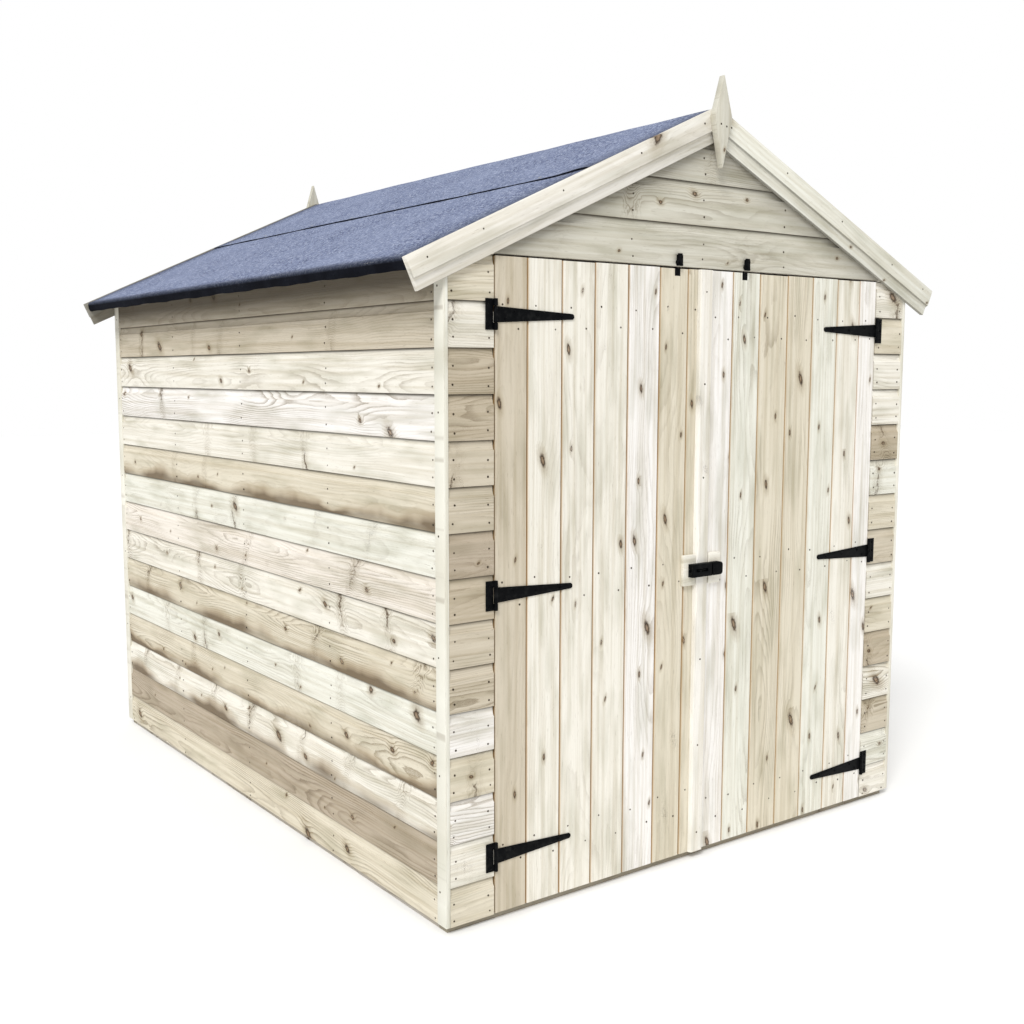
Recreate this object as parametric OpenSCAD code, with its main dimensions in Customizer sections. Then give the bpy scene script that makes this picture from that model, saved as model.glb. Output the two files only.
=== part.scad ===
// Apex garden shed with double doors: timber walls on a framed floor, a felted pitched roof,
// two ledged and braced doors on tee hinges, a sliding pad bolt and two turn buttons.
// Millimetres, +Z up. The origin is on the ground under the middle of the shed, the doors face -Y.

/* [Body] */
// Width across the side walls
body_w = 1830; // [1500:10:2100]
// Depth from the front cladding to the back cladding
body_d = 2400; // [1800:10:3000]
// Height of the roof's peak
ridge_z = 2191; // [2120:1:2260]
// Slope of the roof in degrees
roof_pitch = 24.5; // [24:0.1:25]
// Height of the lower edge of the wall boards
clad_z = 20; // [15:1:25]
// Thickness of the wall boards
clad_t = 12; // [10:1:12]
// Side of the square framing timber
frame_t = 38; // [28:1:40]

/* [Floor] */
// Height of the floor joists
joist_h = 45; // [40:1:60]
// Thickness of the floor boards
floor_t = 12; // [10:1:16]
// Number of joists that run from front to back
joist_n = 8; // [8:1:9]

/* [Trim] */
// Width of the corner trims along the side walls
trim_w = 43; // [35:1:50]
// Thickness of the corner trims
trim_t = 14; // [14:1:16]

/* [Roof] */
// Thickness of the roof boards
deck_t = 12; // [10:1:16]
// Thickness of the roofing felt
felt_t = 3; // [2:0.5:3]
// Length of the roof boards down the slope
deck_l = 1121; // [1110:1:1125]
// Distance down the slope to the lap of the ridge felt
lap_s = 530; // [480:5:560]
// Length of the barge boards down the slope
barge_l = 1134; // [1126:1:1140]
// Width of the barge boards
barge_w = 87; // [80:1:88]
// Thickness of the barge boards
barge_t = 20; // [16:1:22]
// Height of the finials' tips
finial_z = 2273; // [2250:1:2290]

/* [Doors] */
// Width of the doorway
door_way = 1526; // [1500:2:1540]
// Height of the lower edge of the doors
door_z0 = 22; // [20:1:26]
// Height of the upper edge of the doors
door_z1 = 1740; // [1735:1:1741]
// Thickness of the door boards
door_t = 12; // [10:1:13]
// Gap round the doors
door_gap = 5; // [5:1:6]
// Heights of the left door's hinges
left_hinge_z = [180, 880, 1595]; // [120:1:1620]
// Heights of the right door's hinges
right_hinge_z = [140, 866, 1584]; // [120:1:1620]
// Width of the strip that covers the joint between the doors
strip_w = 49; // [45:1:55]

/* [Ironwork] */
// Length of the hinge straps from the pin
strap_l = 257; // [220:1:280]
// Height of a strap at the pin
strap_h0 = 40; // [36:1:42]
// Height of a strap at its tip
strap_h1 = 15; // [12:1:18]
// Diameter of the hinge pins
pin_d = 6; // [5:0.5:7]
// Height of the pad bolt
bolt_z = 880; // [860:1:900]
// Travel of the pad bolt
bolt_travel = 30; // [28:1:32]
// Distance of the turn buttons from the middle, left and right
button_x = [-130, 143]; // [-200:1:200]

/* [Hidden] */
$fn = 48;

half_w = body_w / 2;
front_y = -body_d / 2;
back_y = body_d / 2;
in_x = half_w - trim_t;              // outer face of the framing on the sides
side_gap = 2;                        // side boards lie this far inside the trims' faces
in_y = body_d / 2 - clad_t;          // outer face of the framing at the ends
floor_z = joist_h + floor_t;         // top of the floor
floor_back = 6;                      // the floor's front edge stands back from the framing

felt_n = felt_t;                     // depth of the felt's upper face below the barge boards' edge
bed_gap = 0.05;                      // the felt lies this far off what it covers
deck_n = felt_n + felt_t;            // depth of the roof boards' upper face
soffit_n = deck_n + deck_t;          // depth of the roof boards' lower face
wall_z1 = ridge_z - half_w * tan(roof_pitch) - soffit_n / cos(roof_pitch);
head_z = door_z1 + door_gap;         // lower edge of the boards over the doors

way_x = door_way / 2;                // half of the doorway
door_edge = way_x - door_gap;        // hinge edge of each door
mid_gap = 5;                         // half of the gap between the doors
pin_x = way_x - 2;                   // hinge pins, in the gap beside the door
knuckle_d = 11;
pin_y = front_y - knuckle_d / 2;
plate_w = 29;                        // fixed leaf, from the pin outwards
plate_h = 78;
leaf_t = 3;
knuckle_gap = 1;
bore_gap = 0.1;                      // running clearance on the diameter

ledge_t = 20;
ledge_w = 90;
ledge_in = 12;                       // ledges stop this far inside the door's edges
brace_w = 70;
strip_t = 12;
packer_h = 90;
packer_w = 48;
housing_h = 38;
housing_t = 18;
housing_l = 78;
keep_l = 41;
rod_d = 11;
rod_y = front_y - strip_t - housing_t / 2;
rod_l = 73;
knob_d = 7;
slot_end = 8;

button_gap = 6;                      // space behind the turn buttons
button_t = 5;
button_w = 21;
button_arm = 24;
button_z = head_z + 11;
button_pin = 6;

module slab(x0, x1, y0, y1, z0, z1) {
  translate([x0, y0, z0]) cube([x1 - x0, y1 - y0, z1 - z0]);
}

module along_y(y0, y1) {
  translate([0, y1, 0]) rotate([90, 0, 0]) linear_extrude(height = y1 - y0) children();
}

// A point of the left roof slope: s down the slope from the peak, n below the barge boards' edge
function slope(s, n) = [-s * cos(roof_pitch) + n * sin(roof_pitch),
                        ridge_z - s * sin(roof_pitch) - n * cos(roof_pitch)];

// The same depth where the two slopes meet
function mitre(n) = slope(n * tan(roof_pitch), n);

// Height of a depth n over a distance x from the middle
function roof_at(x, n) = ridge_z - abs(x) * tan(roof_pitch) - n / cos(roof_pitch);

module slope_band(s1, n0, n1) {
  polygon([mitre(n0), slope(s1, n0), slope(s1, n1), mitre(n1)]);
}

// Right-hand copies are mirrored in the middle plane, back ones in the plane across it
module flip_x() mirror([1, 0, 0]) children();
module flip_y() mirror([0, 1, 0]) children();

// ---- Floor ----

module floor_frame() {
  y0 = -in_y + floor_back;
  pitch = (2 * in_x - frame_t) / (joist_n - 1);
  color("tan") union() {
    slab(-in_x, in_x, y0, y0 + frame_t, 0, joist_h);
    slab(-in_x, in_x, in_y - frame_t, in_y, 0, joist_h);
    for (i = [0 : joist_n - 1])
      slab(-in_x + i * pitch, -in_x + i * pitch + frame_t, y0, in_y, 0, joist_h);
  }
}

module floor_boards() {
  color("burlywood") slab(-in_x, in_x, -in_y + floor_back, in_y, joist_h, floor_z);
}

// ---- Walls ----

module side_wall() {
  slab(-half_w + side_gap, -in_x, front_y + trim_w, back_y - trim_w, clad_z, wall_z1);
}

module left_wall() color("beige") side_wall();
module right_wall() color("beige") flip_x() side_wall();

module gable_end(z0) {
  polygon([[-in_x, z0], [in_x, z0], [in_x, roof_at(in_x, soffit_n)], [0, roof_at(0, soffit_n)],
           [-in_x, roof_at(in_x, soffit_n)]]);
}

module back_wall() {
  color("beige") along_y(in_y, back_y) gable_end(clad_z);
}

module front_gable() {
  color("beige") along_y(front_y, -in_y) gable_end(head_z);
}

module front_panel() {
  slab(-in_x, -way_x, front_y, -in_y, clad_z, head_z);
}

module front_left_panel() color("beige") front_panel();
module front_right_panel() color("beige") flip_x() front_panel();

// ---- Framing inside the walls ----

stud_n = 5;
plate_z1 = roof_at(in_x, soffit_n) - 1;

module side_frame() {
  pitch = (2 * in_y - frame_t) / (stud_n - 1);
  inner = -in_x + frame_t;
  union() {
    slab(-in_x, inner, -in_y, in_y, floor_z, floor_z + frame_t);
    slab(-in_x, inner, -in_y, in_y, plate_z1 - frame_t, plate_z1);
    for (i = [0 : stud_n - 1])
      slab(-in_x, inner, -in_y + i * pitch, -in_y + i * pitch + frame_t, floor_z, plate_z1);
  }
}

module left_wall_frame() color("wheat") side_frame();
module right_wall_frame() color("wheat") flip_x() side_frame();

module back_wall_frame() {
  side = in_x - frame_t;
  stud_x = side / 3;
  color("wheat") union() {
    slab(-side, side, in_y - frame_t, in_y, floor_z, floor_z + frame_t);
    slab(-side, side, in_y - frame_t, in_y, head_z - frame_t, head_z);
    for (x = [-stud_x, stud_x])
      slab(x - frame_t / 2, x + frame_t / 2, in_y - frame_t, in_y, floor_z, head_z);
  }
}

module front_frame() {
  head_x = way_x + frame_t;
  color("wheat") union() {
    for (x = [-head_x, way_x])
      slab(x, x + frame_t, -in_y, -in_y + frame_t, floor_z, head_z);
    slab(-head_x, head_x, -in_y, -in_y + frame_t, head_z, head_z + frame_t);
  }
}

// ---- Corner trims ----

module corner_trim() {
  slab(-half_w, -in_x, front_y, front_y + trim_w, clad_z, wall_z1);
}

module corner_trim_front_left() color("cornsilk") corner_trim();
module corner_trim_front_right() color("cornsilk") flip_x() corner_trim();
module corner_trim_back_left() color("cornsilk") flip_y() corner_trim();
module corner_trim_back_right() color("cornsilk") flip_x() flip_y() corner_trim();

// ---- Roof ----

module roof_half() {
  along_y(front_y, back_y) slope_band(deck_l, deck_n, soffit_n);
}

// Section of a timber w wide and h deep that lies against the roof boards at s down the slope
module under_deck(s, w, h) {
  polygon([slope(s, soffit_n), slope(s + w, soffit_n), slope(s + w, soffit_n + h), slope(s, soffit_n + h)]);
}

module roof_panel_left() color("tan") roof_half();
module roof_panel_right() color("tan") flip_x() roof_half();

ridge_t = 20;
ridge_h = 95;
purlin_s = 560;
eave_w = 24;                         // battens under the eaves, which the felt is nailed to
eave_h = 18;

// Ridge board, purlins and eave battens
module roof_purlins() {
  y1 = in_y;
  color("wheat") union() {
    slab(-ridge_t / 2, ridge_t / 2, -y1, y1,
         roof_at(ridge_t / 2, soffit_n) - ridge_h, roof_at(ridge_t / 2, soffit_n));
    for (side = [0, 1]) mirror([side, 0, 0]) {
      along_y(-y1, y1) under_deck(purlin_s, frame_t, frame_t);
      along_y(front_y, back_y) under_deck(deck_l - eave_w, eave_w, eave_h);
    }
  }
}

lap_w = 75;                          // the ridge felt covers this much of the lower felt
lip_h = 38;                          // the lower felt turns down over the eave

module felt_half() {
  s0 = lap_s - lap_w;
  s1 = deck_l + felt_t;
  along_y(front_y, back_y)
    polygon([slope(s0, felt_n), slope(s1, felt_n), slope(s1, felt_n + lip_h),
             slope(deck_l + bed_gap, felt_n + lip_h), slope(deck_l + bed_gap, deck_n - bed_gap),
             slope(s0, deck_n - bed_gap)]);
}

module roof_felt_left() color("slategray") felt_half();
module roof_felt_right() color("slategray") flip_x() felt_half();

module roof_felt_ridge() {
  s0 = lap_s - lap_w;
  color("slategray") along_y(front_y, back_y)
    for (side = [0, 1])
      mirror([side, 0])
        polygon([mitre(felt_n), slope(s0 - 2 * felt_t, felt_n), slope(s0, 0), slope(lap_s, 0),
                 slope(lap_s, felt_n - bed_gap), slope(s0 - bed_gap, felt_n - bed_gap),
                 slope(s0 - bed_gap, deck_n - bed_gap), mitre(deck_n - bed_gap)]);
}

step_n = 54;                         // the barge boards are thinner below this depth
step_t = 14;

module barge_board() {
  union() {
    along_y(front_y - step_t, front_y) slope_band(barge_l, 0, barge_w);
    along_y(front_y - barge_t, front_y) slope_band(barge_l, 0, step_n);
  }
}

module barge_board_front_left() color("cornsilk") barge_board();
module barge_board_front_right() color("cornsilk") flip_x() barge_board();
module barge_board_back_left() color("cornsilk") flip_y() barge_board();
module barge_board_back_right() color("cornsilk") flip_x() flip_y() barge_board();

finial_w = 80;
finial_t = 20;
finial_mid = ridge_z - 32;
finial_h = 252;

module finial() {
  y = front_y - barge_t;
  along_y(y - finial_t, y)
    polygon([[0, finial_z], [finial_w / 2, finial_mid], [0, finial_z - finial_h],
             [-finial_w / 2, finial_mid]]);
}

module finial_front() color("cornsilk") finial();
module finial_back() color("cornsilk") flip_y() finial();

// ---- Hinges ----

// Fixed leaf on the wall, with two knuckles and the pin
module hinge_plate(z) {
  knuckle_h = (plate_h - strap_h0) / 2 - knuckle_gap;
  leaf_x = -knuckle_d / 2 - knuckle_gap;
  translate([-pin_x, pin_y, z]) union() {
    slab(-plate_w, leaf_x, knuckle_d / 2 - leaf_t, knuckle_d / 2, -plate_h / 2, plate_h / 2);
    for (low = [-plate_h / 2, plate_h / 2 - knuckle_h]) {
      translate([0, 0, low]) cylinder(h = knuckle_h, d = knuckle_d);
      slab(leaf_x - 1, 0, knuckle_d / 2 - leaf_t, knuckle_d / 2, low, low + knuckle_h);
    }
    translate([0, 0, -plate_h / 2]) cylinder(h = plate_h, d = pin_d);
  }
}

// Tapered leaf on the door, with the middle knuckle round the pin
module hinge_strap(z) {
  root = knuckle_d / 2;
  translate([-pin_x, pin_y, z]) difference() {
    union() {
      cylinder(h = strap_h0, d = knuckle_d, center = true);
      translate([0, knuckle_d / 2, 0]) rotate([90, 0, 0]) linear_extrude(height = leaf_t) union() {
        polygon([[0, -strap_h0 / 2], [root + 4, -strap_h0 / 2], [strap_l - strap_h1 / 2, -strap_h1 / 2],
                 [strap_l - strap_h1 / 2, strap_h1 / 2], [root + 4, strap_h0 / 2], [0, strap_h0 / 2]]);
        translate([strap_l - strap_h1 / 2, 0]) circle(d = strap_h1);
      }
    }
    cylinder(h = strap_h0 + 2, d = pin_d + bore_gap, center = true);
  }
}

module left_hinge_plates() color("black") for (z = left_hinge_z) hinge_plate(z);
module right_hinge_plates() color("black") flip_x() for (z = right_hinge_z) hinge_plate(z);
module left_hinge_straps() color("black") for (z = left_hinge_z) hinge_strap(z);
module right_hinge_straps() color("black") flip_x() for (z = right_hinge_z) hinge_strap(z);

// ---- Doors ----

module door_leaf() {
  slab(-door_edge, -mid_gap, front_y, front_y + door_t, door_z0, door_z1);
}

// Three ledges behind the boards, and two braces that rise from the hinge side
module door_ledges(heights) {
  x0 = -door_edge + ledge_in;
  x1 = -mid_gap - ledge_in;
  y0 = front_y + door_t;
  along_y(y0, y0 + ledge_t) union() {
    for (z = heights) translate([x0, z - ledge_w / 2]) square([x1 - x0, ledge_w]);
    for (i = [0 : len(heights) - 2]) {
      z0 = heights[i] + ledge_w / 2 - 1;
      z1 = heights[i + 1] - ledge_w / 2 + 1;
      polygon([[x0, z0], [x0 + brace_w, z0], [x1, z1], [x1 - brace_w, z1]]);
    }
  }
}

module left_door_boards() color("beige") door_leaf();
module right_door_boards() color("beige") flip_x() door_leaf();
module left_door_ledges() color("wheat") door_ledges(left_hinge_z);
module right_door_ledges() color("wheat") flip_x() door_ledges(right_hinge_z);

strip_x1 = 0;                        // the strip reaches half way over the gap between the doors

module meeting_strip() {
  color("cornsilk")
    slab(strip_x1 - strip_w, strip_x1, front_y - strip_t, front_y, door_z0, door_z1);
}

module left_lock_packer() {
  x1 = strip_x1 - strip_w;
  color("cornsilk")
    slab(x1 - packer_w, x1, front_y - strip_t, front_y, bolt_z - packer_h / 2, bolt_z + packer_h / 2);
}

module right_lock_packer() {
  color("cornsilk")
    slab(mid_gap, mid_gap + packer_w, front_y - strip_t, front_y,
         bolt_z - packer_h / 2, bolt_z + packer_h / 2);
}

// ---- Pad bolt, drawn back ----

housing_x1 = strip_x1;
housing_x0 = housing_x1 - housing_l;
rod_x0 = housing_x0 + 3;
knob_x = rod_x0 + 22;

module rod_bore(x0, x1, d) {
  translate([x0, rod_y, bolt_z]) rotate([0, 90, 0]) cylinder(h = x1 - x0, d = d);
}

module bolt_housing() {
  y1 = front_y - strip_t;
  color("black") difference() {
    slab(housing_x0, housing_x1, y1 - housing_t, y1, bolt_z - housing_h / 2, bolt_z + housing_h / 2);
    rod_bore(housing_x0 - 1, housing_x1 + 1, rod_d + bore_gap);
    slab(knob_x - slot_end, knob_x + bolt_travel + slot_end, y1 - housing_t - 1, rod_y,
         bolt_z - knob_d / 2 - 1, bolt_z + knob_d / 2 + 1);
  }
}

module lock_bolt() {
  knob_y = front_y - strip_t - housing_t - 8;
  color("black") union() {
    rod_bore(rod_x0, rod_x0 + rod_l, rod_d);
    translate([knob_x, rod_y, bolt_z]) rotate([90, 0, 0]) cylinder(h = rod_y - knob_y, d = knob_d);
  }
}

module bolt_keep() {
  y1 = front_y - strip_t;
  r = housing_h / 2;
  x0 = mid_gap;
  color("black") difference() {
    along_y(y1 - housing_t, y1) translate([0, bolt_z]) union() {
      translate([x0, -r]) square([keep_l - 10, housing_h]);
      translate([x0, -r + 10]) square([keep_l, housing_h - 20]);
      for (z = [-r + 10, r - 10]) translate([x0 + keep_l - 10, z]) circle(r = 10);
    }
    rod_bore(x0 - 1, x0 + keep_l - 8, rod_d + 2);
  }
}

// ---- Turn buttons ----

module turn_button_posts() {
  color("black") for (x = button_x)
    translate([x, front_y, button_z]) rotate([90, 0, 0]) union() {
      cylinder(h = button_gap - 1, d = 16);
      cylinder(h = button_gap + button_t, d = button_pin);
      translate([0, 0, button_gap + button_t]) cylinder(h = 2, d = 10);
    }
}

// A button that points up; its pivot is near the lower end
module turn_button(x) {
  tail = 10;
  translate([x, front_y - button_gap, button_z]) rotate([90, 0, 0]) difference() {
    linear_extrude(height = button_t) union() {
      translate([-button_w / 2, -tail]) square([button_w, button_arm + tail - 4]);
      translate([-button_w / 2 + 4, -tail]) square([button_w - 8, button_arm + tail]);
    }
    translate([0, 0, -1]) cylinder(h = button_t + 2, d = button_pin + bore_gap);
  }
}

module left_turn_button() color("black") turn_button(button_x[0]);
module right_turn_button() color("black") turn_button(button_x[1]);

floor_frame();
floor_boards();
left_wall();
right_wall();
back_wall();
front_left_panel();
front_right_panel();
front_gable();
left_wall_frame();
right_wall_frame();
back_wall_frame();
front_frame();
corner_trim_front_left();
corner_trim_front_right();
corner_trim_back_left();
corner_trim_back_right();
roof_panel_left();
roof_panel_right();
roof_purlins();
roof_felt_left();
roof_felt_right();
roof_felt_ridge();
barge_board_front_left();
barge_board_front_right();
barge_board_back_left();
barge_board_back_right();
finial_front();
finial_back();
left_hinge_plates();
right_hinge_plates();
turn_button_posts();
left_door_boards();
left_door_ledges();
left_hinge_straps();
meeting_strip();
left_lock_packer();
bolt_housing();
lock_bolt();
right_door_boards();
right_door_ledges();
right_hinge_straps();
right_lock_packer();
bolt_keep();
left_turn_button();
right_turn_button();
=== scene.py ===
"""Timber garden shed: shiplap boards, double doors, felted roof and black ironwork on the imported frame."""

import math
import random

import bmesh
import bpy
import numpy as np
from mathutils import Matrix, Vector


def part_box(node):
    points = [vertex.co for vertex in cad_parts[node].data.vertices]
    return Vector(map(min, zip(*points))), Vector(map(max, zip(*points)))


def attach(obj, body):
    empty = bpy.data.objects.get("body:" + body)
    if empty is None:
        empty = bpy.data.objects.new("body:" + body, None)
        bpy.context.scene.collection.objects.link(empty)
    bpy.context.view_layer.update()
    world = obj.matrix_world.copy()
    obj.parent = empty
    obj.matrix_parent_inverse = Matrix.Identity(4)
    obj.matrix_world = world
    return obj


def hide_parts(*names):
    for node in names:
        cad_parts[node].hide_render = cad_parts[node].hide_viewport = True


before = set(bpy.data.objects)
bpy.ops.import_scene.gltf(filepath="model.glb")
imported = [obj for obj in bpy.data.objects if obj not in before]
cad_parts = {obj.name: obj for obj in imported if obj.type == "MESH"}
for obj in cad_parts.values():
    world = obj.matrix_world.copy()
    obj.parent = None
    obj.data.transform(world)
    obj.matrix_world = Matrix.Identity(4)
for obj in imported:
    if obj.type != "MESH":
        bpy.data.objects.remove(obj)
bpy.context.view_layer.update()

bl_info = {
    "name": "Timber garden shed",
    "version": (1, 0, 0),
    "blender": (4, 5, 0),
    "location": "3D Viewport > Sidebar > Shed",
    "description": "Builds a shiplap shed with double doors on its packed frame",
    "category": "Add Mesh",
}

# ---- Places, all worked out from the frame ----

LEFT, RIGHT = -1, 1
TRIM_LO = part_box("corner_trim_front_left")[0]
WALL_LO, WALL_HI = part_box("left_wall")
GABLE_LO, GABLE_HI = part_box("front_gable")
BACK_LO, BACK_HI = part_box("back_wall")
PANEL_LO, PANEL_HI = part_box("front_left_panel")
BARGE_LO, BARGE_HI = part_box("barge_board_front_left")
DECK_LO, DECK_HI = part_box("roof_panel_left")
FELT_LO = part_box("roof_felt_left")[0]
RIDGE_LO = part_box("roof_felt_ridge")[0]

HALF_W = -TRIM_LO.x
FRONT_Y = PANEL_LO.y
BOARD_T = PANEL_HI.y - PANEL_LO.y
RIDGE_Z = BARGE_HI.z
PITCH = math.atan2(GABLE_HI.z - WALL_HI.z, HALF_W)
SIN, COS = math.sin(PITCH), math.cos(PITCH)
SOFFIT_N = (RIDGE_Z - GABLE_HI.z) * COS
DECK_N = (RIDGE_Z - DECK_HI.z) * COS
DECK_L = (DECK_N * SIN - DECK_LO.x) / COS
BARGE_L = -BARGE_LO.x / COS
BARGE_W = (RIDGE_Z - BARGE_LO.z - BARGE_L * SIN) / COS
LAP_S = -RIDGE_LO.x / COS


def slope(s, n):
    """A point of the left roof slope: s down the slope from the peak, n square to it and inwards."""
    return (-s * COS + n * SIN, RIDGE_Z - s * SIN - n * COS)


def srgb(code, alpha=1.0):
    """A hex colour as linear red, green, blue and alpha."""
    parts = [int(code[i:i + 2], 16) / 255 for i in (1, 3, 5)]
    return tuple(c / 12.92 if c <= 0.04045 else ((c + 0.055) / 1.055) ** 2.4 for c in parts) + (alpha,)


# ---- Sizes and colours that a user would change ----


def metres(name, text, default):
    """A length that the panel shows."""
    return bpy.props.FloatProperty(name=name, description=text, default=default, unit="LENGTH",
                                   precision=4)


class ShedBoards(bpy.types.PropertyGroup):
    """Sizes of the boards."""

    cover: metres("Board cover", "Height that each wall board shows", 0.1155)
    first: metres("First joint", "Height of the lowest joint between the wall boards", 0.1255)
    gable_cover: metres("Gable cover", "Height that each board over the doors shows", 0.1185)
    cove_height: metres("Cove height", "Height of the hollow along the top of a wall board", 0.027)
    cove_depth: metres("Cove depth", "Depth of that hollow", 0.007)
    groove: metres("Door groove", "Half the width of the vee between two door boards", 0.0042)
    floor_cover: metres("Floor board cover", "Width that each floor or roof board shows", 0.095)
    section: metres("Section length", "Distance between two cross-sections of a board", 0.045)


class ShedFixings(bpy.types.PropertyGroup):
    """Sizes of the nails and screws."""

    nail: metres("Nail head", "Diameter of a nail head in a board", 0.0055)
    clout: metres("Clout head", "Diameter of a felt nail's head", 0.013)
    screw: metres("Screw head", "Diameter of a hinge screw's head", 0.0085)


class ShedColours(bpy.types.PropertyGroup):
    """Colours of the felt and the ironwork."""

    felt: bpy.props.FloatVectorProperty(
        name="Felt", description="Mean colour of the slate granules", subtype="COLOR", size=4,
        default=srgb("#6F7891"))
    iron: bpy.props.FloatVectorProperty(
        name="Ironwork", description="Colour of the powder coat", subtype="COLOR", size=4,
        default=srgb("#08090B"))


# ---- Nodes ----


def add(tree, kind, sockets=(), stops=(), **settings):
    """Adds a node with its settings, sets or links its inputs and returns its outputs."""
    node = tree.nodes.new(kind)
    for name, value in settings.items():
        setattr(node, name, value)
    pairs = sockets.items() if isinstance(sockets, dict) else enumerate(sockets)
    for name, value in pairs:
        if isinstance(value, bpy.types.NodeSocket):
            tree.links.new(value, node.inputs[name])
        elif value is not None:
            node.inputs[name].default_value = value
    for i, (place, colour) in enumerate(stops):
        element = node.color_ramp.elements[i] if i < 2 else node.color_ramp.elements.new(place)
        element.position = place
        element.color = colour
    return node.outputs


def shader(tree):
    """Empties the tree and gives the function that adds shader nodes to it, named without their prefix."""
    tree.nodes.clear()
    return lambda kind, *sockets, **settings: add(tree, "ShaderNode" + kind, *sockets, **settings)


def new_tree(name, inputs):
    """An empty Geometry Nodes tree with a geometry in and out, and the inputs given."""
    tree = bpy.data.node_groups.new(name, "GeometryNodeTree")
    tree.interface.new_socket("Geometry", in_out="INPUT", socket_type="NodeSocketGeometry")
    for label, kind in inputs:
        tree.interface.new_socket(label, in_out="INPUT", socket_type="NodeSocket" + kind)
    tree.interface.new_socket("Geometry", in_out="OUTPUT", socket_type="NodeSocketGeometry")
    return tree, add(tree, "NodeGroupInput")


def course_tree():
    """One board after another up the wall, each a little out of line."""
    tree, inputs = new_tree("board_courses", (
        ("Courses", "Int"), ("Cover", "Float"), ("Wander", "Float"), ("Seed", "Int"),
        ("Material", "Material")))
    step = add(tree, "ShaderNodeCombineXYZ", {"Z": inputs["Cover"]})[0]
    line = add(tree, "GeometryNodeMeshLine", {"Count": inputs["Courses"], "Offset": step}, mode="OFFSET")[0]
    boards = add(tree, "GeometryNodeInstanceOnPoints", {"Points": line, "Instance": inputs["Geometry"]})[0]
    span = add(tree, "ShaderNodeVectorMath", [(0.0, 1.0, 0.8), inputs["Wander"]], operation="MULTIPLY")[0]
    drift = add(tree, "FunctionNodeRandomValue", {0: (0, 0, 0), 1: span, "Seed": inputs["Seed"]},
                data_type="FLOAT_VECTOR")[0]
    moved = add(tree, "GeometryNodeTranslateInstances", {"Instances": boards, "Translation": drift})[0]
    real = add(tree, "GeometryNodeRealizeInstances", [moved])[0]
    done = add(tree, "GeometryNodeSetMaterial", {"Geometry": real, "Material": inputs["Material"]})[0]
    add(tree, "NodeGroupOutput", [done])
    return tree


def fixing_tree():
    """One head on every point, standing square to the surface that the point faces away from."""
    tree, inputs = new_tree("fixings", (
        ("Head", "Object"), ("Size", "Float"), ("Spread", "Float"), ("Seed", "Int"),
        ("Material", "Material")))
    facing = add(tree, "GeometryNodeInputNamedAttribute", {"Name": "facing"}, data_type="FLOAT_VECTOR")[0]
    turned = add(tree, "FunctionNodeAlignRotationToVector", {"Vector": facing}, axis="Z")[0]
    spin = add(tree, "FunctionNodeRandomValue", {2: 0.0, 3: 6.28, "Seed": inputs["Seed"]},
               data_type="FLOAT")[1]
    about = add(tree, "ShaderNodeCombineXYZ", {"Z": spin})[0]
    whole = add(tree, "FunctionNodeRotateRotation", [turned, about], rotation_space="LOCAL")[0]
    low = add(tree, "ShaderNodeMath", [1.0, inputs["Spread"]], operation="SUBTRACT")[0]
    high = add(tree, "ShaderNodeMath", [1.0, inputs["Spread"]], operation="ADD")[0]
    share = add(tree, "FunctionNodeRandomValue", {2: low, 3: high, "Seed": inputs["Seed"]},
                data_type="FLOAT")[1]
    size = add(tree, "ShaderNodeMath", [share, inputs["Size"]], operation="MULTIPLY")[0]
    head = add(tree, "GeometryNodeObjectInfo", {"Object": inputs["Head"]})["Geometry"]
    heads = add(tree, "GeometryNodeInstanceOnPoints",
                {"Points": inputs["Geometry"], "Instance": head, "Rotation": whole, "Scale": size})[0]
    real = add(tree, "GeometryNodeRealizeInstances", [heads])[0]
    done = add(tree, "GeometryNodeSetMaterial", {"Geometry": real, "Material": inputs["Material"]})[0]
    add(tree, "NodeGroupOutput", [done])
    return tree


def grown(obj, tree, values):
    """Runs the tree on the object and puts the result in its mesh."""
    modifier = obj.modifiers.new("grown", "NODES")
    modifier.node_group = tree
    for item in tree.interface.items_tree:
        if item.in_out == "INPUT" and item.name in values:
            modifier[item.identifier] = values[item.name]
    graph = bpy.context.evaluated_depsgraph_get()
    mesh = bpy.data.meshes.new_from_object(obj.evaluated_get(graph))
    obj.modifiers.clear()
    old = obj.data
    obj.data = mesh
    bpy.data.meshes.remove(old)
    return obj


def linked(name, data):
    """A new object in the scene."""
    obj = bpy.data.objects.new(name, data)
    bpy.context.scene.collection.objects.link(obj)
    return obj


def attribute(mesh, name, rows):
    """Stores one number or one vector for every point of the mesh."""
    rows = np.asarray(rows, np.float32)
    kind, field = ("FLOAT", "value") if rows.ndim == 1 else ("FLOAT_VECTOR", "vector")
    mesh.attributes.new(name, kind, "POINT").data.foreach_set(field, rows.ravel())


# ---- Materials ----

TONES = {"white": 0.0, "cream": 0.14, "green": 0.28, "pink": 0.42, "beige": 0.56, "grey": 0.63, "tan": 0.72,
         "brown": 0.86, "dark": 1.0}
TREATED = ((0.0, "#F0EDE9"), (0.14, "#EAE6DB"), (0.28, "#E5E4D9"), (0.42, "#EBE4DA"), (0.56, "#DAD2BF"),
           (0.63, "#CECBBE"), (0.72, "#CBC1AE"), (0.86, "#BFB39E"), (1.0, "#B5A895"))
KNOT_PITCH = 0.21
SPIKE_PITCH = 0.34


def blank_material(name):
    """An empty material and the function that adds nodes to it."""
    material = bpy.data.materials.new(name)
    material.use_nodes = True
    return material, shader(material.node_tree)


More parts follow.
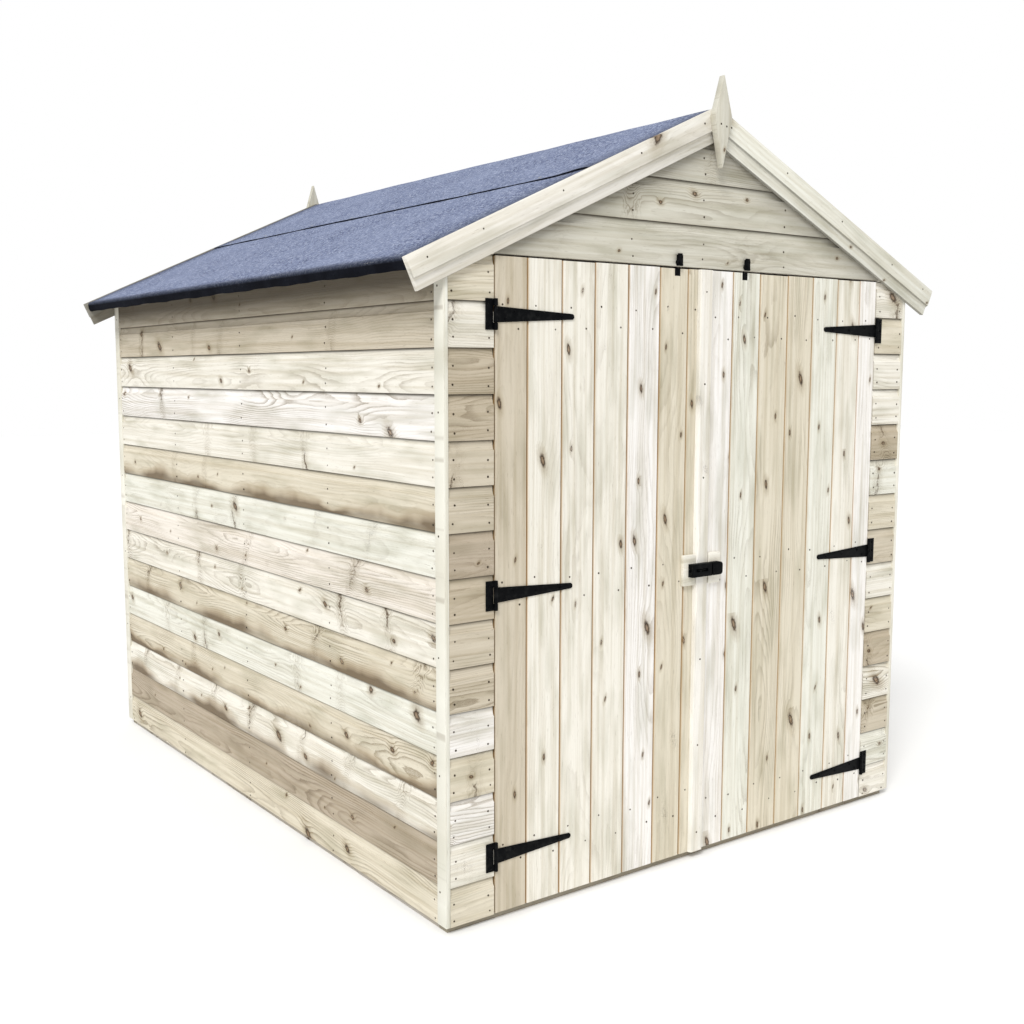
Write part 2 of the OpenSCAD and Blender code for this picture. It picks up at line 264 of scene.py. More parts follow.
def wood(name, ring=0.0052, knots=0.5, knot=0.0125, spikes=0.4, smear=0.75, figure=1.0, relief=0.00045,
         rough=0.72, stain_and_shade="#3A3226"):
    """Pressure-treated spruce: pale, faintly green, with ring lines that flow round the knots."""
    material, node = blank_material(name)
    grain = node("Attribute", attribute_name="grain")["Vector"]
    board = node("Attribute", attribute_name="board")["Vector"]
    joint = node("Attribute", attribute_name="joint")["Fac"]
    along, across, inward = node("SeparateXYZ", [grain])
    tone, seed, wane = node("SeparateXYZ", [board])
    chance = node("TexWhiteNoise", {"W": seed}, noise_dimensions="1D")["Color"]
    heart, depth, lively = node("SeparateXYZ", [chance])
    own = node("VectorMath", [seed, (17.0, 3.0, 7.0), grain], operation="MULTIPLY_ADD")[0]
    lot = node("Math", [seed, 81.0], operation="MULTIPLY")[0]

    # Noises in waves per metre along, across and into the board
    noise = {}
    for label, scale, detail in (
            ("jag", (130, 130, 1), 1.0), ("ragged", (44, 30, 1), 3.5), ("wander", (1.3, 5, 5), 1.5),
            ("patch", (3.1, 8, 8), 1.0), ("wavy", (10, 48, 48), 3.0), ("streak", (1.8, 75, 75), 3.0),
            ("blotch", (4.5, 22, 22), 2.0), ("fleck", (38, 480, 480), 1.0), ("fibre", (14, 420, 420), 1.0),
            ("scoop", (13, 5, 5), 1.5)):
        stretched = node("VectorMath", [own, scale], operation="MULTIPLY")[0]
        noise[label] = node("TexNoise", {"Vector": stretched, "Scale": 1.0, "Detail": detail})["Fac"]

    # Round knots, one chance in each pitch
    pace = node("Math", [along, 1 / KNOT_PITCH, lot], operation="MULTIPLY_ADD")[0]
    cell = node("TexVoronoi", {"W": pace, "Scale": 1.0, "Randomness": 0.9}, voronoi_dimensions="1D")
    chosen, sideways, bulk = node("SeparateXYZ", [cell["Color"]])
    off = node("Math", [pace, cell["W"]], operation="SUBTRACT")[0]
    off = node("Math", [off, KNOT_PITCH * smear], operation="MULTIPLY")[0]
    off_side = node("Math", [sideways, -0.09, across], operation="MULTIPLY_ADD")[0]
    tilt = node("MapRange", [bulk, 0.0, 1.0, -0.7, 0.7])[0]
    off_side = node("Math", [off, tilt, off_side], operation="MULTIPLY_ADD")[0]
    off = node("CombineXYZ", [off, off_side, 0.0])[0]
    far = node("VectorMath", [off, (0.0, -0.045, 0.0)], operation="DISTANCE")["Value"]
    bulk = node("Math", [bulk, 3.0], operation="POWER")[0]
    bulk = node("MapRange", [bulk, 0.0, 1.0, 0.0026, knot])[0]
    reach = node("Math", [far, bulk], operation="DIVIDE")[0]
    reach = node("Math", [noise["jag"], 0.8, reach], operation="MULTIPLY_ADD")[0]
    share = node("MapRange", [lively, 0.0, 1.0, 1.0 - 0.4 * knots, 1.0 - 1.3 * knots])[0]
    there = node("Math", [chosen, share], operation="GREATER_THAN")[0]
    near = node("MapRange", [reach, 0.4, 5.9, 1.0, 0.0], interpolation_type="SMOOTHERSTEP")[0]
    near = node("Math", [near, there], operation="MULTIPLY")[0]
    ripe = node("Math", [reach, 0.25], operation="MULTIPLY")[0]
    eye = node("ValToRGB", [ripe], stops=[
        (p, srgb(c, a)) for p, c, a in (
            (0.1, "#85694A", 0.85), (0.22, "#6F563B", 0.9), (0.31, "#32271C", 1.0), (0.37, "#5E4C36", 0.8),
            (0.48, "#8F7E62", 0.42), (0.75, "#A59677", 0.22), (1.0, "#B0A080", 0.0))])
    heavy = node("Math", [eye["Alpha"], there], operation="MULTIPLY")[0]

    # Spike knots, cut along their length, that run across the board, and the brown round them
    skew = node("MapRange", [depth, 0.0, 1.0, -0.5, 0.5])[0]
    lean = node("Math", [across, skew, along], operation="MULTIPLY_ADD")[0]
    pace = node("Math", [lean, 1 / SPIKE_PITCH, lot], operation="MULTIPLY_ADD")[0]
    cell = node("TexVoronoi", {"W": pace, "Scale": 1.0, "Randomness": 0.95}, voronoi_dimensions="1D")
    chosen, start, broad = node("SeparateXYZ", [cell["Color"]])
    off = node("Math", [pace, cell["W"]], operation="SUBTRACT")[0]
    off = node("Math", [off, SPIKE_PITCH], operation="MULTIPLY")[0]
    bent = node("MapRange", [noise["ragged"], 0.2, 0.8, -0.016, 0.016])[0]
    off = node("Math", [off, bent], operation="ADD")[0]
    off = node("Math", [off], operation="ABSOLUTE")[0]
    way = node("Math", [lively, 0.5], operation="GREATER_THAN")[0]
    way = node("MapRange", [way, 0.0, 1.0, -1.0, 1.0])[0]
    start = node("MapRange", [start, 0.0, 1.0, -0.08, 0.03])[0]
    start = node("Math", [across, way, start], operation="MULTIPLY_ADD")[0]
    taper = node("MapRange", [start, -0.02, 0.08, 0.25, 1.0])[0]
    start = node("MapRange", [start, -0.012, 0.002, 0.0, 1.0])[0]
    firm = node("MapRange", [broad, 0.0, 0.7, 0.6, 1.0])[0]
    broad = node("MapRange", [broad, 0.0, 1.0, 0.003, 0.012])[0]
    broad = node("Math", [broad, taper], operation="MULTIPLY")[0]
    band = node("Math", [off, broad], operation="DIVIDE")[0]
    band = node("MapRange", [band, 0.4, 1.2, 1.0, 0.0], interpolation_type="SMOOTHSTEP")[0]
    start = node("Math", [start, firm], operation="MULTIPLY")[0]
    share = node("MapRange", [heart, 0.0, 1.0, 1.0, 1.0 - 1.7 * spikes])[0]
    chosen = node("Math", [chosen, share], operation="GREATER_THAN")[0]
    rough_side = node("MapRange", [noise["jag"], 0.3, 0.6, 0.45, 1.0])[0]
    for factor in (start, chosen, rough_side):
        band = node("Math", [band, factor], operation="MULTIPLY")[0]
    glow = node("MapRange", [off, 0.0, 0.042, 1.0, 0.0], interpolation_type="SMOOTHERSTEP")[0]
    glow = node("Math", [glow, chosen], operation="MULTIPLY")[0]
    brown = node("MapRange", [noise["ragged"], 0.3, 0.7, 0.1, 0.9])[0]
    for factor in (glow, taper):
        brown = node("Math", [brown, factor], operation="MULTIPLY")[0]

    # Growth rings: cylinders about a heart line below the face, pushed aside by the knots
    middle = node("MapRange", [heart, 0.0, 1.0, -0.055, 0.075])[0]
    aside = node("Math", [across, middle], operation="SUBTRACT")[0]
    aside = node("Math", [near, 0.012, aside], operation="MULTIPLY_ADD")[0]
    below = node("MapRange", [depth, 0.0, 1.0, 0.004, 0.06])[0]
    below = node("Math", [noise["wander"], 0.10, below], operation="MULTIPLY_ADD")[0]
    below = node("Math", [below, inward], operation="ADD")[0]
    spot = node("CombineXYZ", [aside, below, 0.0])[0]
    field = node("VectorMath", [spot], operation="LENGTH")["Value"]
    field = node("Math", [glow, 0.012, field], operation="MULTIPLY_ADD")[0]
    turn = node("Math", [field, 1 / ring, noise["wavy"]], operation="MULTIPLY_ADD")[0]
    turn = node("Math", [turn], operation="FRACT")[0]
    late = node("ValToRGB", [turn], stops=(
        (0.0, (0, 0, 0, 1)), (0.5, (0.05, 0.05, 0.05, 1)), (0.86, (0.85, 0.85, 0.85, 1)),
        (0.94, (1, 1, 1, 1)), (1.0, (0, 0, 0, 1))))[0]
    clear = node("Math", [lively, 2.0], operation="POWER")[0]
    clear = node("MapRange", [clear, 0.0, 1.0, 0.25 * figure, figure])[0]
    patchy = node("MapRange", [noise["patch"], 0.4, 0.6, 0.08, 0.75])[0]
    patchy = node("Math", [glow, 0.5, patchy], operation="MULTIPLY_ADD")[0]
    patchy = node("Math", [near, 0.5, patchy], operation="MULTIPLY_ADD")[0]
    lines = node("Math", [late, clear], operation="MULTIPLY")[0]
    lines = node("Math", [lines, patchy], operation="MULTIPLY", use_clamp=True)[0]

    # The waney lower edge of a board, where the log's outside shows, with a line of bark
    low = node("Math", [wane, 0.8], operation="MULTIPLY")[0]
    low = node("Math", [noise["patch"], 0.34, low], operation="MULTIPLY_ADD")[0]
    low = node("Math", [noise["scoop"], 0.42, low], operation="MULTIPLY_ADD")[0]
    bark = node("ValToRGB", [low], stops=[
        (p, srgb(c, a)) for p, c, a in (
            (0.40, "#B9AA8F", 0.0), (0.46, "#9A886A", 0.5), (0.54, "#B5A68B", 0.38), (0.76, "#9F8D72", 0.7),
            (1.0, "#6E5E48", 0.95))])
    edge = node("MapRange", [noise["patch"], 0.3, 0.55, 0.35, 1.0])[0]
    within = node("MapRange", [wane, 0.02, 0.2, 0.0, 1.0])[0]
    for factor in (bark["Alpha"], within):
        edge = node("Math", [edge, factor], operation="MULTIPLY")[0]

    streak = node("MapRange", [noise["streak"], 0.42, 0.68, 0.0, 0.75])[0]
    blotch = node("MapRange", [noise["blotch"], 0.48, 0.75, 0.0, 0.8])[0]
    fleck = node("MapRange", [noise["fleck"], 0.66, 0.78, 0.0, 0.32])[0]
    base = node("ValToRGB", [tone], stops=[(p, srgb(c)) for p, c in TREATED])[0]
    # The last mix follows the joint attribute: painted shade in the boards' hollows, under the eaves and
    # barge boards and on the eave battens, and a real stain in the door grooves and on the floor joists.
    for amount, blend, colour in (
            (streak, "MULTIPLY", srgb("#E4E0D7")), (blotch, "MULTIPLY", srgb("#DBDBD3")),
            (lines, "MULTIPLY", srgb("#8C7C62")), (fleck, "MULTIPLY", srgb("#8C7B61")),
            (brown, "MULTIPLY", srgb("#A89B84")), (edge, "MIX", bark["Color"]), (heavy, "MIX", eye["Color"]),
            (band, "MIX", srgb("#554430")), (joint, "MIX", srgb(stain_and_shade))):
        base = node("Mix", {0: amount, 6: base, 7: colour}, data_type="RGBA", blend_type=blend)[2]

    height = node("Math", [late, 0.4, noise["fibre"]], operation="MULTIPLY_ADD")[0]
    normal = node("Bump", {"Strength": 0.7, "Distance": relief, "Height": height})[0]
    surface = node("BsdfPrincipled", {
        "Base Color": base, "Roughness": rough, "Specular IOR Level": 0.3, "Normal": normal})[0]
    node("OutputMaterial", {"Surface": surface})
    return material


def granule_felt(name, colour):
    """Bitumen roofing felt coated with crushed slate: matt and speckled, and dark where the felt's darkness
    attribute says so: black bitumen at cut edges and underneath, painted shade on the turn over the eaves
    and along the gable ends.
    """
    material, node = blank_material(name)
    place = node("TexCoord")["Object"]
    bare_and_shade = node("Attribute", attribute_name="bare_and_shade")["Fac"]
    # Granules are about 1.5 mm; they are drawn 5 mm across so that they show
    grains = node("TexVoronoi", {"Vector": place, "Scale": 1 / 0.005, "Randomness": 1.0})
    light, _, grey = node("SeparateXYZ", [grains["Color"]])
    fleck = node("ValToRGB", [light], stops=(
        (0.0, srgb("#39415A")), (0.3, srgb("#656F8D")), (0.7, srgb("#8993B0")), (1.0, srgb("#C3CADD"))))[0]
    cloud = node("TexNoise", {"Vector": place, "Scale": 5.0, "Detail": 4.0})["Fac"]
    cloud = node("MapRange", [cloud, 0.35, 0.7, 0.0, 0.4])[0]
    # Where the darkness attribute is high the felt turns almost black: real bitumen at cut edges and
    # underneath, painted shade elsewhere.
    bitumen_and_shade = node("TexNoise", {"Vector": place, "Scale": 12.0, "Detail": 3.0})["Fac"]
    bitumen_and_shade = node("MapRange", [bitumen_and_shade, 0.25, 0.6, 0.975, 1.0])[0]
    bitumen_and_shade = node("Math", [bitumen_and_shade, bare_and_shade], operation="MULTIPLY")[0]
    base = node("Mix", {0: 0.7, 6: colour, 7: fleck}, data_type="RGBA")[2]
    base = node("Mix", {0: cloud, 6: base, 7: srgb("#96A0BA")}, data_type="RGBA")[2]
    base = node("Mix", {0: bitumen_and_shade, 6: base, 7: srgb("#0B0D14")}, data_type="RGBA")[2]
    normal = node("Bump", {"Strength": 0.8, "Distance": 0.0008, "Height": grey})[0]
    surface = node("BsdfPrincipled", {
        "Base Color": base, "Roughness": 0.9, "Specular IOR Level": 0.05, "Normal": normal})[0]
    node("OutputMaterial", {"Surface": surface})
    return material


def powder_coat(name, colour):
    """Steel under a satin black powder coat, with its fine orange peel."""
    material, node = blank_material(name)
    place = node("TexCoord")["Object"]
    # Orange peel is about 2 mm from crest to crest
    peel = node("TexNoise", {"Vector": place, "Scale": 1 / 0.002, "Detail": 1.0})["Fac"]
    wear = node("TexNoise", {"Vector": place, "Scale": 60.0, "Detail": 3.0})["Fac"]
    rough = node("MapRange", [wear, 0.3, 0.7, 0.40, 0.58])[0]
    dust = node("MapRange", [wear, 0.5, 0.8, 0.0, 0.10])[0]
    base = node("Mix", {0: dust, 6: colour, 7: srgb("#5A5A58")}, data_type="RGBA")[2]
    normal = node("Bump", {"Strength": 0.5, "Distance": 0.00015, "Height": peel})[0]
    surface = node("BsdfPrincipled", {
        "Base Color": base, "Roughness": rough, "Specular IOR Level": 0.05, "Normal": normal})[0]
    node("OutputMaterial", {"Surface": surface})
    return material


def nail_metal(name, code, rough):
    """Drawn and headed steel wire: a small dull disc with a mottled skin."""
    material, node = blank_material(name)
    place = node("TexCoord")["Object"]
    skin = node("TexNoise", {"Vector": place, "Scale": 350.0, "Detail": 2.0})["Fac"]
    rough = node("MapRange", [skin, 0.3, 0.7, rough - 0.1, rough + 0.1])[0]
    amount = node("MapRange", [skin, 0.4, 0.7, 0.0, 0.5])[0]
    base = node("Mix", {0: amount, 6: srgb(code), 7: srgb("#6B5A44")}, data_type="RGBA")[2]
    surface = node("BsdfPrincipled", {"Base Color": base, "Roughness": rough, "Metallic": 1.0})[0]
    node("OutputMaterial", {"Surface": surface})
    return material


MATERIALS = {}


def finish(name):
    """The material of that name, made when it is first asked for."""
    if name not in MATERIALS:
        colours = bpy.context.scene.shed_colours
        makers = {
            "treated_spruce_shiplap": lambda: wood(name),
            "treated_spruce_matchboard": lambda: wood(
                name, ring=0.0062, knots=0.6, knot=0.008, spikes=0.0, smear=0.42, figure=0.6,
                stain_and_shade="#9A7236"),
            "planed_spruce_trim": lambda: wood(name, knots=0.45, spikes=0.0, figure=0.5),
            "sawn_spruce_framing": lambda: wood(name, relief=0.0008, rough=0.82),
            "mineral_felt": lambda: granule_felt(name, tuple(colours.felt)),
            "black_powder_coat": lambda: powder_coat(name, tuple(colours.iron)),
            "dulled_wire_nail": lambda: nail_metal(name, "#4B443B", 0.55),
            "galvanised_clout": lambda: nail_metal(name, "#C9CED4", 0.35),
        }
        MATERIALS[name] = makers[name]()
    return MATERIALS[name]


# ---- Shapes ----


def outward(mesh):
    """Points the faces of closed shells outwards."""
    bm = bmesh.new()
    bm.from_mesh(mesh)
    bmesh.ops.recalc_face_normals(bm, faces=bm.faces)
    bm.to_mesh(mesh)
    bm.free()


def settled(obj, material, body, replaced=(), crease=35):
    """Finishes an object as a piece that rides on a body."""
    mesh = obj.data
    mesh.materials.clear()
    mesh.materials.append(finish(material))
    mesh.shade_smooth()
    mesh.set_sharp_from_angle(angle=math.radians(crease))
    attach(obj, body)
    if replaced:
        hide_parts(*replaced)
    return obj


def loft(rings):
    """A closed shape skinned over rings of points, with flat ends."""
    bm = bmesh.new()
    rings = [[bm.verts.new(p) for p in ring] for ring in rings]
    bm.faces.new(rings[0])
    bm.faces.new(rings[-1][::-1])
    for low, high in zip(rings, rings[1:]):
        for corners in zip(low, low[1:] + low[:1], high[1:] + high[:1], high):
            bm.faces.new(corners)
    bmesh.ops.recalc_face_normals(bm, faces=bm.faces)
    return bm


def eased(bm, edge, angle):
    """Rounds the arrises that turn by more than the angle."""
    sharp = [e for e in bm.edges if len(e.link_faces) == 2 and e.calc_face_angle(0) > angle]
    bmesh.ops.bevel(bm, geom=sharp, offset=edge, segments=2, profile=0.5, affect="EDGES", clamp_overlap=True)
    return bm


def prism(outline, y0, y1, edge):
    """An outline in the XZ plane run from depth y0 to y1, with its arrises eased."""
    return eased(loft([[(x, y, z) for x, z in outline] for y in (y0, y1)]), edge, 0.5)


class Stock:
    """Collects closed shapes into one mesh; every length of timber keeps its own grain and tone."""

    def __init__(self):
        self.corners = []
        self.faces = []
        self.grain = []
        self.board = []
        self.joint = []

    def put(self, bm, place=Matrix(), along=(1, 0, 0), across=(0, 0, 1), tone=0.2, seed=0.0, wane=0.0,
            joint=None):
        """Adds a shape made in its own frame; along and across are the grain's directions there."""
        first = len(self.corners)
        along = Vector(along).normalized()
        across = Vector(across).normalized()
        inward = across.cross(along)
        low = Vector((min(v.co[i] for v in bm.verts) for i in range(3)))
        high = Vector((max(v.co[i] for v in bm.verts) for i in range(3)))
        middle = (low + high) / 2
        for i, v in enumerate(bm.verts):
            v.index = i
            point = v.co - middle
            self.corners.append(place @ v.co)
            self.grain.append((point.dot(along), point.dot(across), abs(point.dot(inward))))
            self.board.append((tone, seed, wane))
            # joint: how far the piece is darkened there, mostly painted shade, a real stain in door grooves
            # and on floor joists.
            self.joint.append(joint(v.co) if joint else 0.0)
        for face in bm.faces:
            self.faces.append([first + v.index for v in face.verts])
        bm.free()

    def show(self, name, material, body, slot, replaced=(), crease=35):
        """Puts the shapes in the scene as one piece."""
        mesh = bpy.data.meshes.new(name)
        mesh.from_pydata(self.corners, [], self.faces)
        attribute(mesh, "grain", self.grain)
        attribute(mesh, "board", self.board)
        attribute(mesh, "joint", self.joint)
        mesh.update()
        return settled(linked(name, mesh), material, body, replaced, crease)


def bar(lo, hi, edge=0.0015):
    """A straight length between two corners."""
    (x0, y0, z0), (x1, y1, z1) = lo, hi
    return prism([(x0, z0), (x1, z0), (x1, z1), (x0, z1)], y0, y1, edge)


GRAIN = {"x": ((1, 0, 0), (0, 0, 1)), "y": ((0, 1, 0), (0, 0, 1)), "z": ((0, 0, 1), (1, 0, 0))}


def put_bar(stock, lo, hi, run, tone, seed, edge=0.0015, stain=0.0):
    """Adds a length of timber whose grain runs along the axis named."""
    along, across = GRAIN[run]
    stock.put(bar(lo, hi, edge), along=along, across=across, tone=tone, seed=seed, joint=lambda p: stain)


# ---- Boards in courses ----


def shiplap_profile(cover, thick, cove_h, cove_d):
    """Cross-section of a shiplap board as (depth, height): flat face, hollow at the top, lap behind."""
    lap = 0.006
    slack = 0.0003
    ease = 0.001
    points = [(cove_d, 0.0), (ease, 0.0), (ease * 0.3, ease * 0.3), (0.0, ease)]
    face_top = cover - cove_h
    points += [(0.0, ease + (face_top - ease) * i / 8) for i in range(1, 9)]
    for i in range(1, 8):
        turn = math.pi / 2 * i / 7
        points.append((cove_d * math.sin(turn), face_top + (cove_h - 0.001) * (1 - math.cos(turn))))
    top = cover + lap - slack
    points += [(cove_d + slack, top), (thick, top), (thick, lap), (cove_d, lap)]
    return points


def plank_profile(cover, thick, ease):
    """Cross-section of a plain board with eased arrises, as (depth, height)."""
    gap = 0.0006
    top = cover - gap
    return [(thick, 0.0), (ease, 0.0), (0.0, ease), (0.0, top / 3), (0.0, top * 2 / 3), (0.0, top - ease),
            (ease, top), (thick, top)]


def blank(name, profile, length, section):
    """One board along X with a cross-section every so often."""
    stations = max(2, round(length / section) + 1)
    n = len(profile)
    corners = [(length * i / (stations - 1), y, z) for i in range(stations) for y, z in profile]
    faces = [list(range(n)), list(range((stations - 1) * n, stations * n))[::-1]]
    for i in range(stations - 1):
        for j in range(n):
            k = (j + 1) % n
            faces.append([i * n + j, (i + 1) * n + j, (i + 1) * n + k, i * n + k])
    mesh = bpy.data.meshes.new(name)
    mesh.from_pydata(corners, [], faces)
    outward(mesh)
    return linked(name, mesh), stations * n


def waves(x, seed, pace):
    """A smooth wandering value between about -1 and 1 along x, its own for each seed."""
    phase = np.modf(np.abs(np.sin(seed * 12.9898) * 43758.5453))[0] * 6.28
    return (np.sin(x * pace + phase) + 0.6 * np.sin(x * pace * 2.3 + phase * 3.1)
            + 0.4 * np.sin(x * pace * 4.9 + phase * 5.7)) / 1.6


# How far down from the roof's edge the painted shadow reaches, and how deep a waney board is hollowed
SHADE_H, WANE_DEPTH = 0.09, 0.0062


def boarded(name, profile, cover, length, courses, material, body, slot, replaced, place,
            tones, z0=0.0, crop=None, ends=None, wander=0.0005, seed=1, bow=0.0004,
            joint_h=0.006, shade=0.0):
    """Boards in courses up a wall: grown by the tree, bowed, waned and cut to the wall's outline."""
    sizes = bpy.context.scene.shed_boards
    obj, ring = blank(name, profile, length, sizes.section)
    grown(obj, TREES["courses"], {"Courses": courses, "Cover": cover, "Wander": wander, "Seed": seed,
                                  "Material": finish(material)})
    mesh = obj.data
    co = np.zeros(len(mesh.vertices) * 3, np.float32)
    mesh.vertices.foreach_get("co", co)
    co = co.reshape(-1, 3).astype(float)
    course = np.arange(len(co)) // ring
    x, y = co[:, 0], co[:, 1]
    up = co[:, 2] - course * cover
    words = [tones[i % len(tones)] for i in range(courses)]
    tone = np.array([TONES[w.lstrip("~")] for w in words])[course]
    wane = np.array([float(w.startswith("~")) for w in words])[course]
    own = seed * 31.7 + course * 1.37
    grain = np.stack([x - length / 2, up - cover / 2, y], 1)
    face = np.clip(1 - y / 0.002, 0, 1)
    # Painted shade in the hollow under the next board, and behind the lower arris
    joint = np.clip((up - (cover - joint_h)) / joint_h, 0, 1) ** 0.7
    joint = np.where((up < 0.0008) & (y > 0.0015), 0.8, joint)
    outside = y < 0.75 * y.max()
    joint = joint * outside
    # Waney boards: the lower part of the face falls away in scoops
    deep = WANE_DEPTH * np.clip(0.62 + 0.6 * waves(x, own, 5.2), 0.1, 1)
    high = cover * np.clip(0.40 + 0.22 * waves(x, own + 3.3, 7.1), 0.12, 0.62)
    fall = np.clip((high - up) / high, 0, 1)
    y = y + wane * face * deep * fall ** 1.4
    board = np.stack([tone, np.mod(own * 0.618, 50.0), wane * fall * outside], 1)
    y = y + face * bow * waves(x, own + 7.7, 2.6)
    z = co[:, 2] + z0 + 0.0004 * waves(x, own + 1.1, 3.7)
    if crop:
        z = np.clip(z, crop[0], crop[1])
    if ends:
        low, high = ends(z)
        x = np.clip(x, low, high)
    co = np.stack([x, y, z], 1)
    turn = np.array(place)[:3, :3]
    shift = np.array(place)[:3, 3]
    co = co @ turn.T + shift
    # Painted shadow under the eaves and the barge boards
    under = (RIDGE_Z - co[:, 2]) * COS - np.abs(co[:, 0]) * SIN - BARGE_W
    joint = np.maximum(joint, shade * np.clip(1 - under / SHADE_H, 0, 1) ** 1.5)
    mesh.vertices.foreach_set("co", co.astype(np.float32).ravel())
    attribute(mesh, "grain", grain)
    attribute(mesh, "board", board)
    attribute(mesh, "joint", joint)
    bm = bmesh.new()
    bm.from_mesh(mesh)
    bmesh.ops.remove_doubles(bm, verts=bm.verts, dist=0.00002)
    bmesh.ops.dissolve_degenerate(bm, edges=bm.edges, dist=0.00002)
    bm.to_mesh(mesh)
    bm.free()
    mesh.update()
    return settled(obj, material, body, replaced, crease=28)


def turned(x_axis, y_axis, z_axis, origin):
    """The matrix that takes a board's own frame to its place."""
    m = Matrix((x_axis, y_axis, z_axis)).transposed().to_4x4()
    m.translation = Vector(origin)
    return m


TREES = {}

# From the bottom board up; ~ marks a waney board
# On the left wall the tan, tan, brown at the top are partly the eave's shade painted into their tones.
LEFT_TONES = ("beige dark ~cream ~beige green ~beige cream pink green ~beige cream white cream tan tan "
              "brown").split()
PANEL_TONES = "beige cream white beige white tan tan brown dark tan tan brown brown cream beige".split()
RIGHT_PANEL_TONES = ("cream green tan cream brown beige cream tan beige green brown cream cream beige "
                     "cream").split()
GABLE_TONES = ["grey"]


def random_tones(seed, count):
    """Board tones for a wall that isn't listed: mostly pale, some brown, a few waney."""
    rng = random.Random(seed)
    pale = ["white", "cream", "green", "pink", "cream", "beige"]
    deep = ["tan", "brown", "~tan", "~brown", "~dark"]
    return [rng.choice(pale if rng.random() < 0.66 else deep) for _ in range(count)]


def under_roof(z):
    """Ends of a gable board that stops under the roof boards, from the board's left end."""
    reach = np.clip((GABLE_HI.z - z) / math.tan(PITCH), 0, GABLE_HI.x)
    return GABLE_HI.x - reach, GABLE_HI.x + reach


class SHED_OT_walls(bpy.types.Operator):
    """Shiplap boards on the four walls and over the doors."""

    bl_idname = "shed.walls"
    bl_label = "Wall boards"

    def execute(self, context):
        sizes = context.scene.shed_boards
        start = sizes.first - sizes.cover

        def shiplap(cover, foot):
            """What every wall of one board cover has in common."""
            return {"material": "treated_spruce_shiplap", "body": "root", "slot": "cladding",
                    "cover": cover, "z0": foot,
                    "profile": shiplap_profile(cover, BOARD_T, sizes.cove_height, sizes.cove_depth)}

        wall = shiplap(sizes.cover, start)
        courses = math.ceil((WALL_HI.z - start) / sizes.cover)
        for name, run, x, y, tones, seed in (
                ("left_wall", -1, WALL_LO.x, WALL_HI.y, LEFT_TONES, 3),
                ("right_wall", 1, -WALL_LO.x, WALL_LO.y, random_tones(5, courses), 5)):
            boarded(name + "_cladding", length=WALL_HI.y - WALL_LO.y, courses=courses, replaced=[name],
                    place=turned((0, run, 0), (-run, 0, 0), (0, 0, 1), (x, y, 0)),
                    tones=tones, crop=(WALL_LO.z, WALL_HI.z), seed=seed, shade=0.85, **wall)
        courses = math.ceil((PANEL_HI.z - start) / sizes.cover)
        for side, node, tones in ((LEFT, "front_left_panel", PANEL_TONES),
                                  (RIGHT, "front_right_panel", RIGHT_PANEL_TONES)):
            lo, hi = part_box(node)
            boarded(node + "_cladding", length=PANEL_HI.x - PANEL_LO.x, courses=courses, replaced=[node],
                    place=turned((1, 0, 0), (0, 1, 0), (0, 0, 1), (lo.x, lo.y, 0)),
                    tones=tones, crop=(lo.z, hi.z), seed=7 + side, **wall)

        half = GABLE_HI.x
        roofed = {"length": 2 * half, "ends": under_roof, "shade": 0.5}
        courses = math.ceil((GABLE_HI.z - GABLE_LO.z) / sizes.gable_cover)
        boarded("front_gable_cladding", courses=courses, replaced=["front_gable"],
                place=turned((1, 0, 0), (0, 1, 0), (0, 0, 1), (-half, FRONT_Y, 0)), tones=GABLE_TONES,
                crop=(GABLE_LO.z, GABLE_HI.z - 0.0001), seed=11, **roofed,
                **shiplap(sizes.gable_cover, GABLE_LO.z))
        courses = math.ceil((BACK_HI.z - start) / sizes.cover)
        boarded("back_wall_cladding", courses=courses, replaced=["back_wall"],
                place=turned((-1, 0, 0), (0, -1, 0), (0, 0, 1), (half, -FRONT_Y, 0)),
                tones=random_tones(9, courses), crop=(BACK_LO.z, BACK_HI.z - 0.0001), seed=13,
                **roofed, **wall)
        return {"FINISHED"}


# Where a barge board's hollow starts across the board, how wide it is and how thin it leaves the edge
HOLLOW_N, HOLLOW_W, HOLLOW_SHARE = 0.054, 0.010, 0.6
# How far below the peak a finial is widest, and how much of its box it fills
FINIAL_DROP, FINIAL_SHARE = 0.032, 0.86


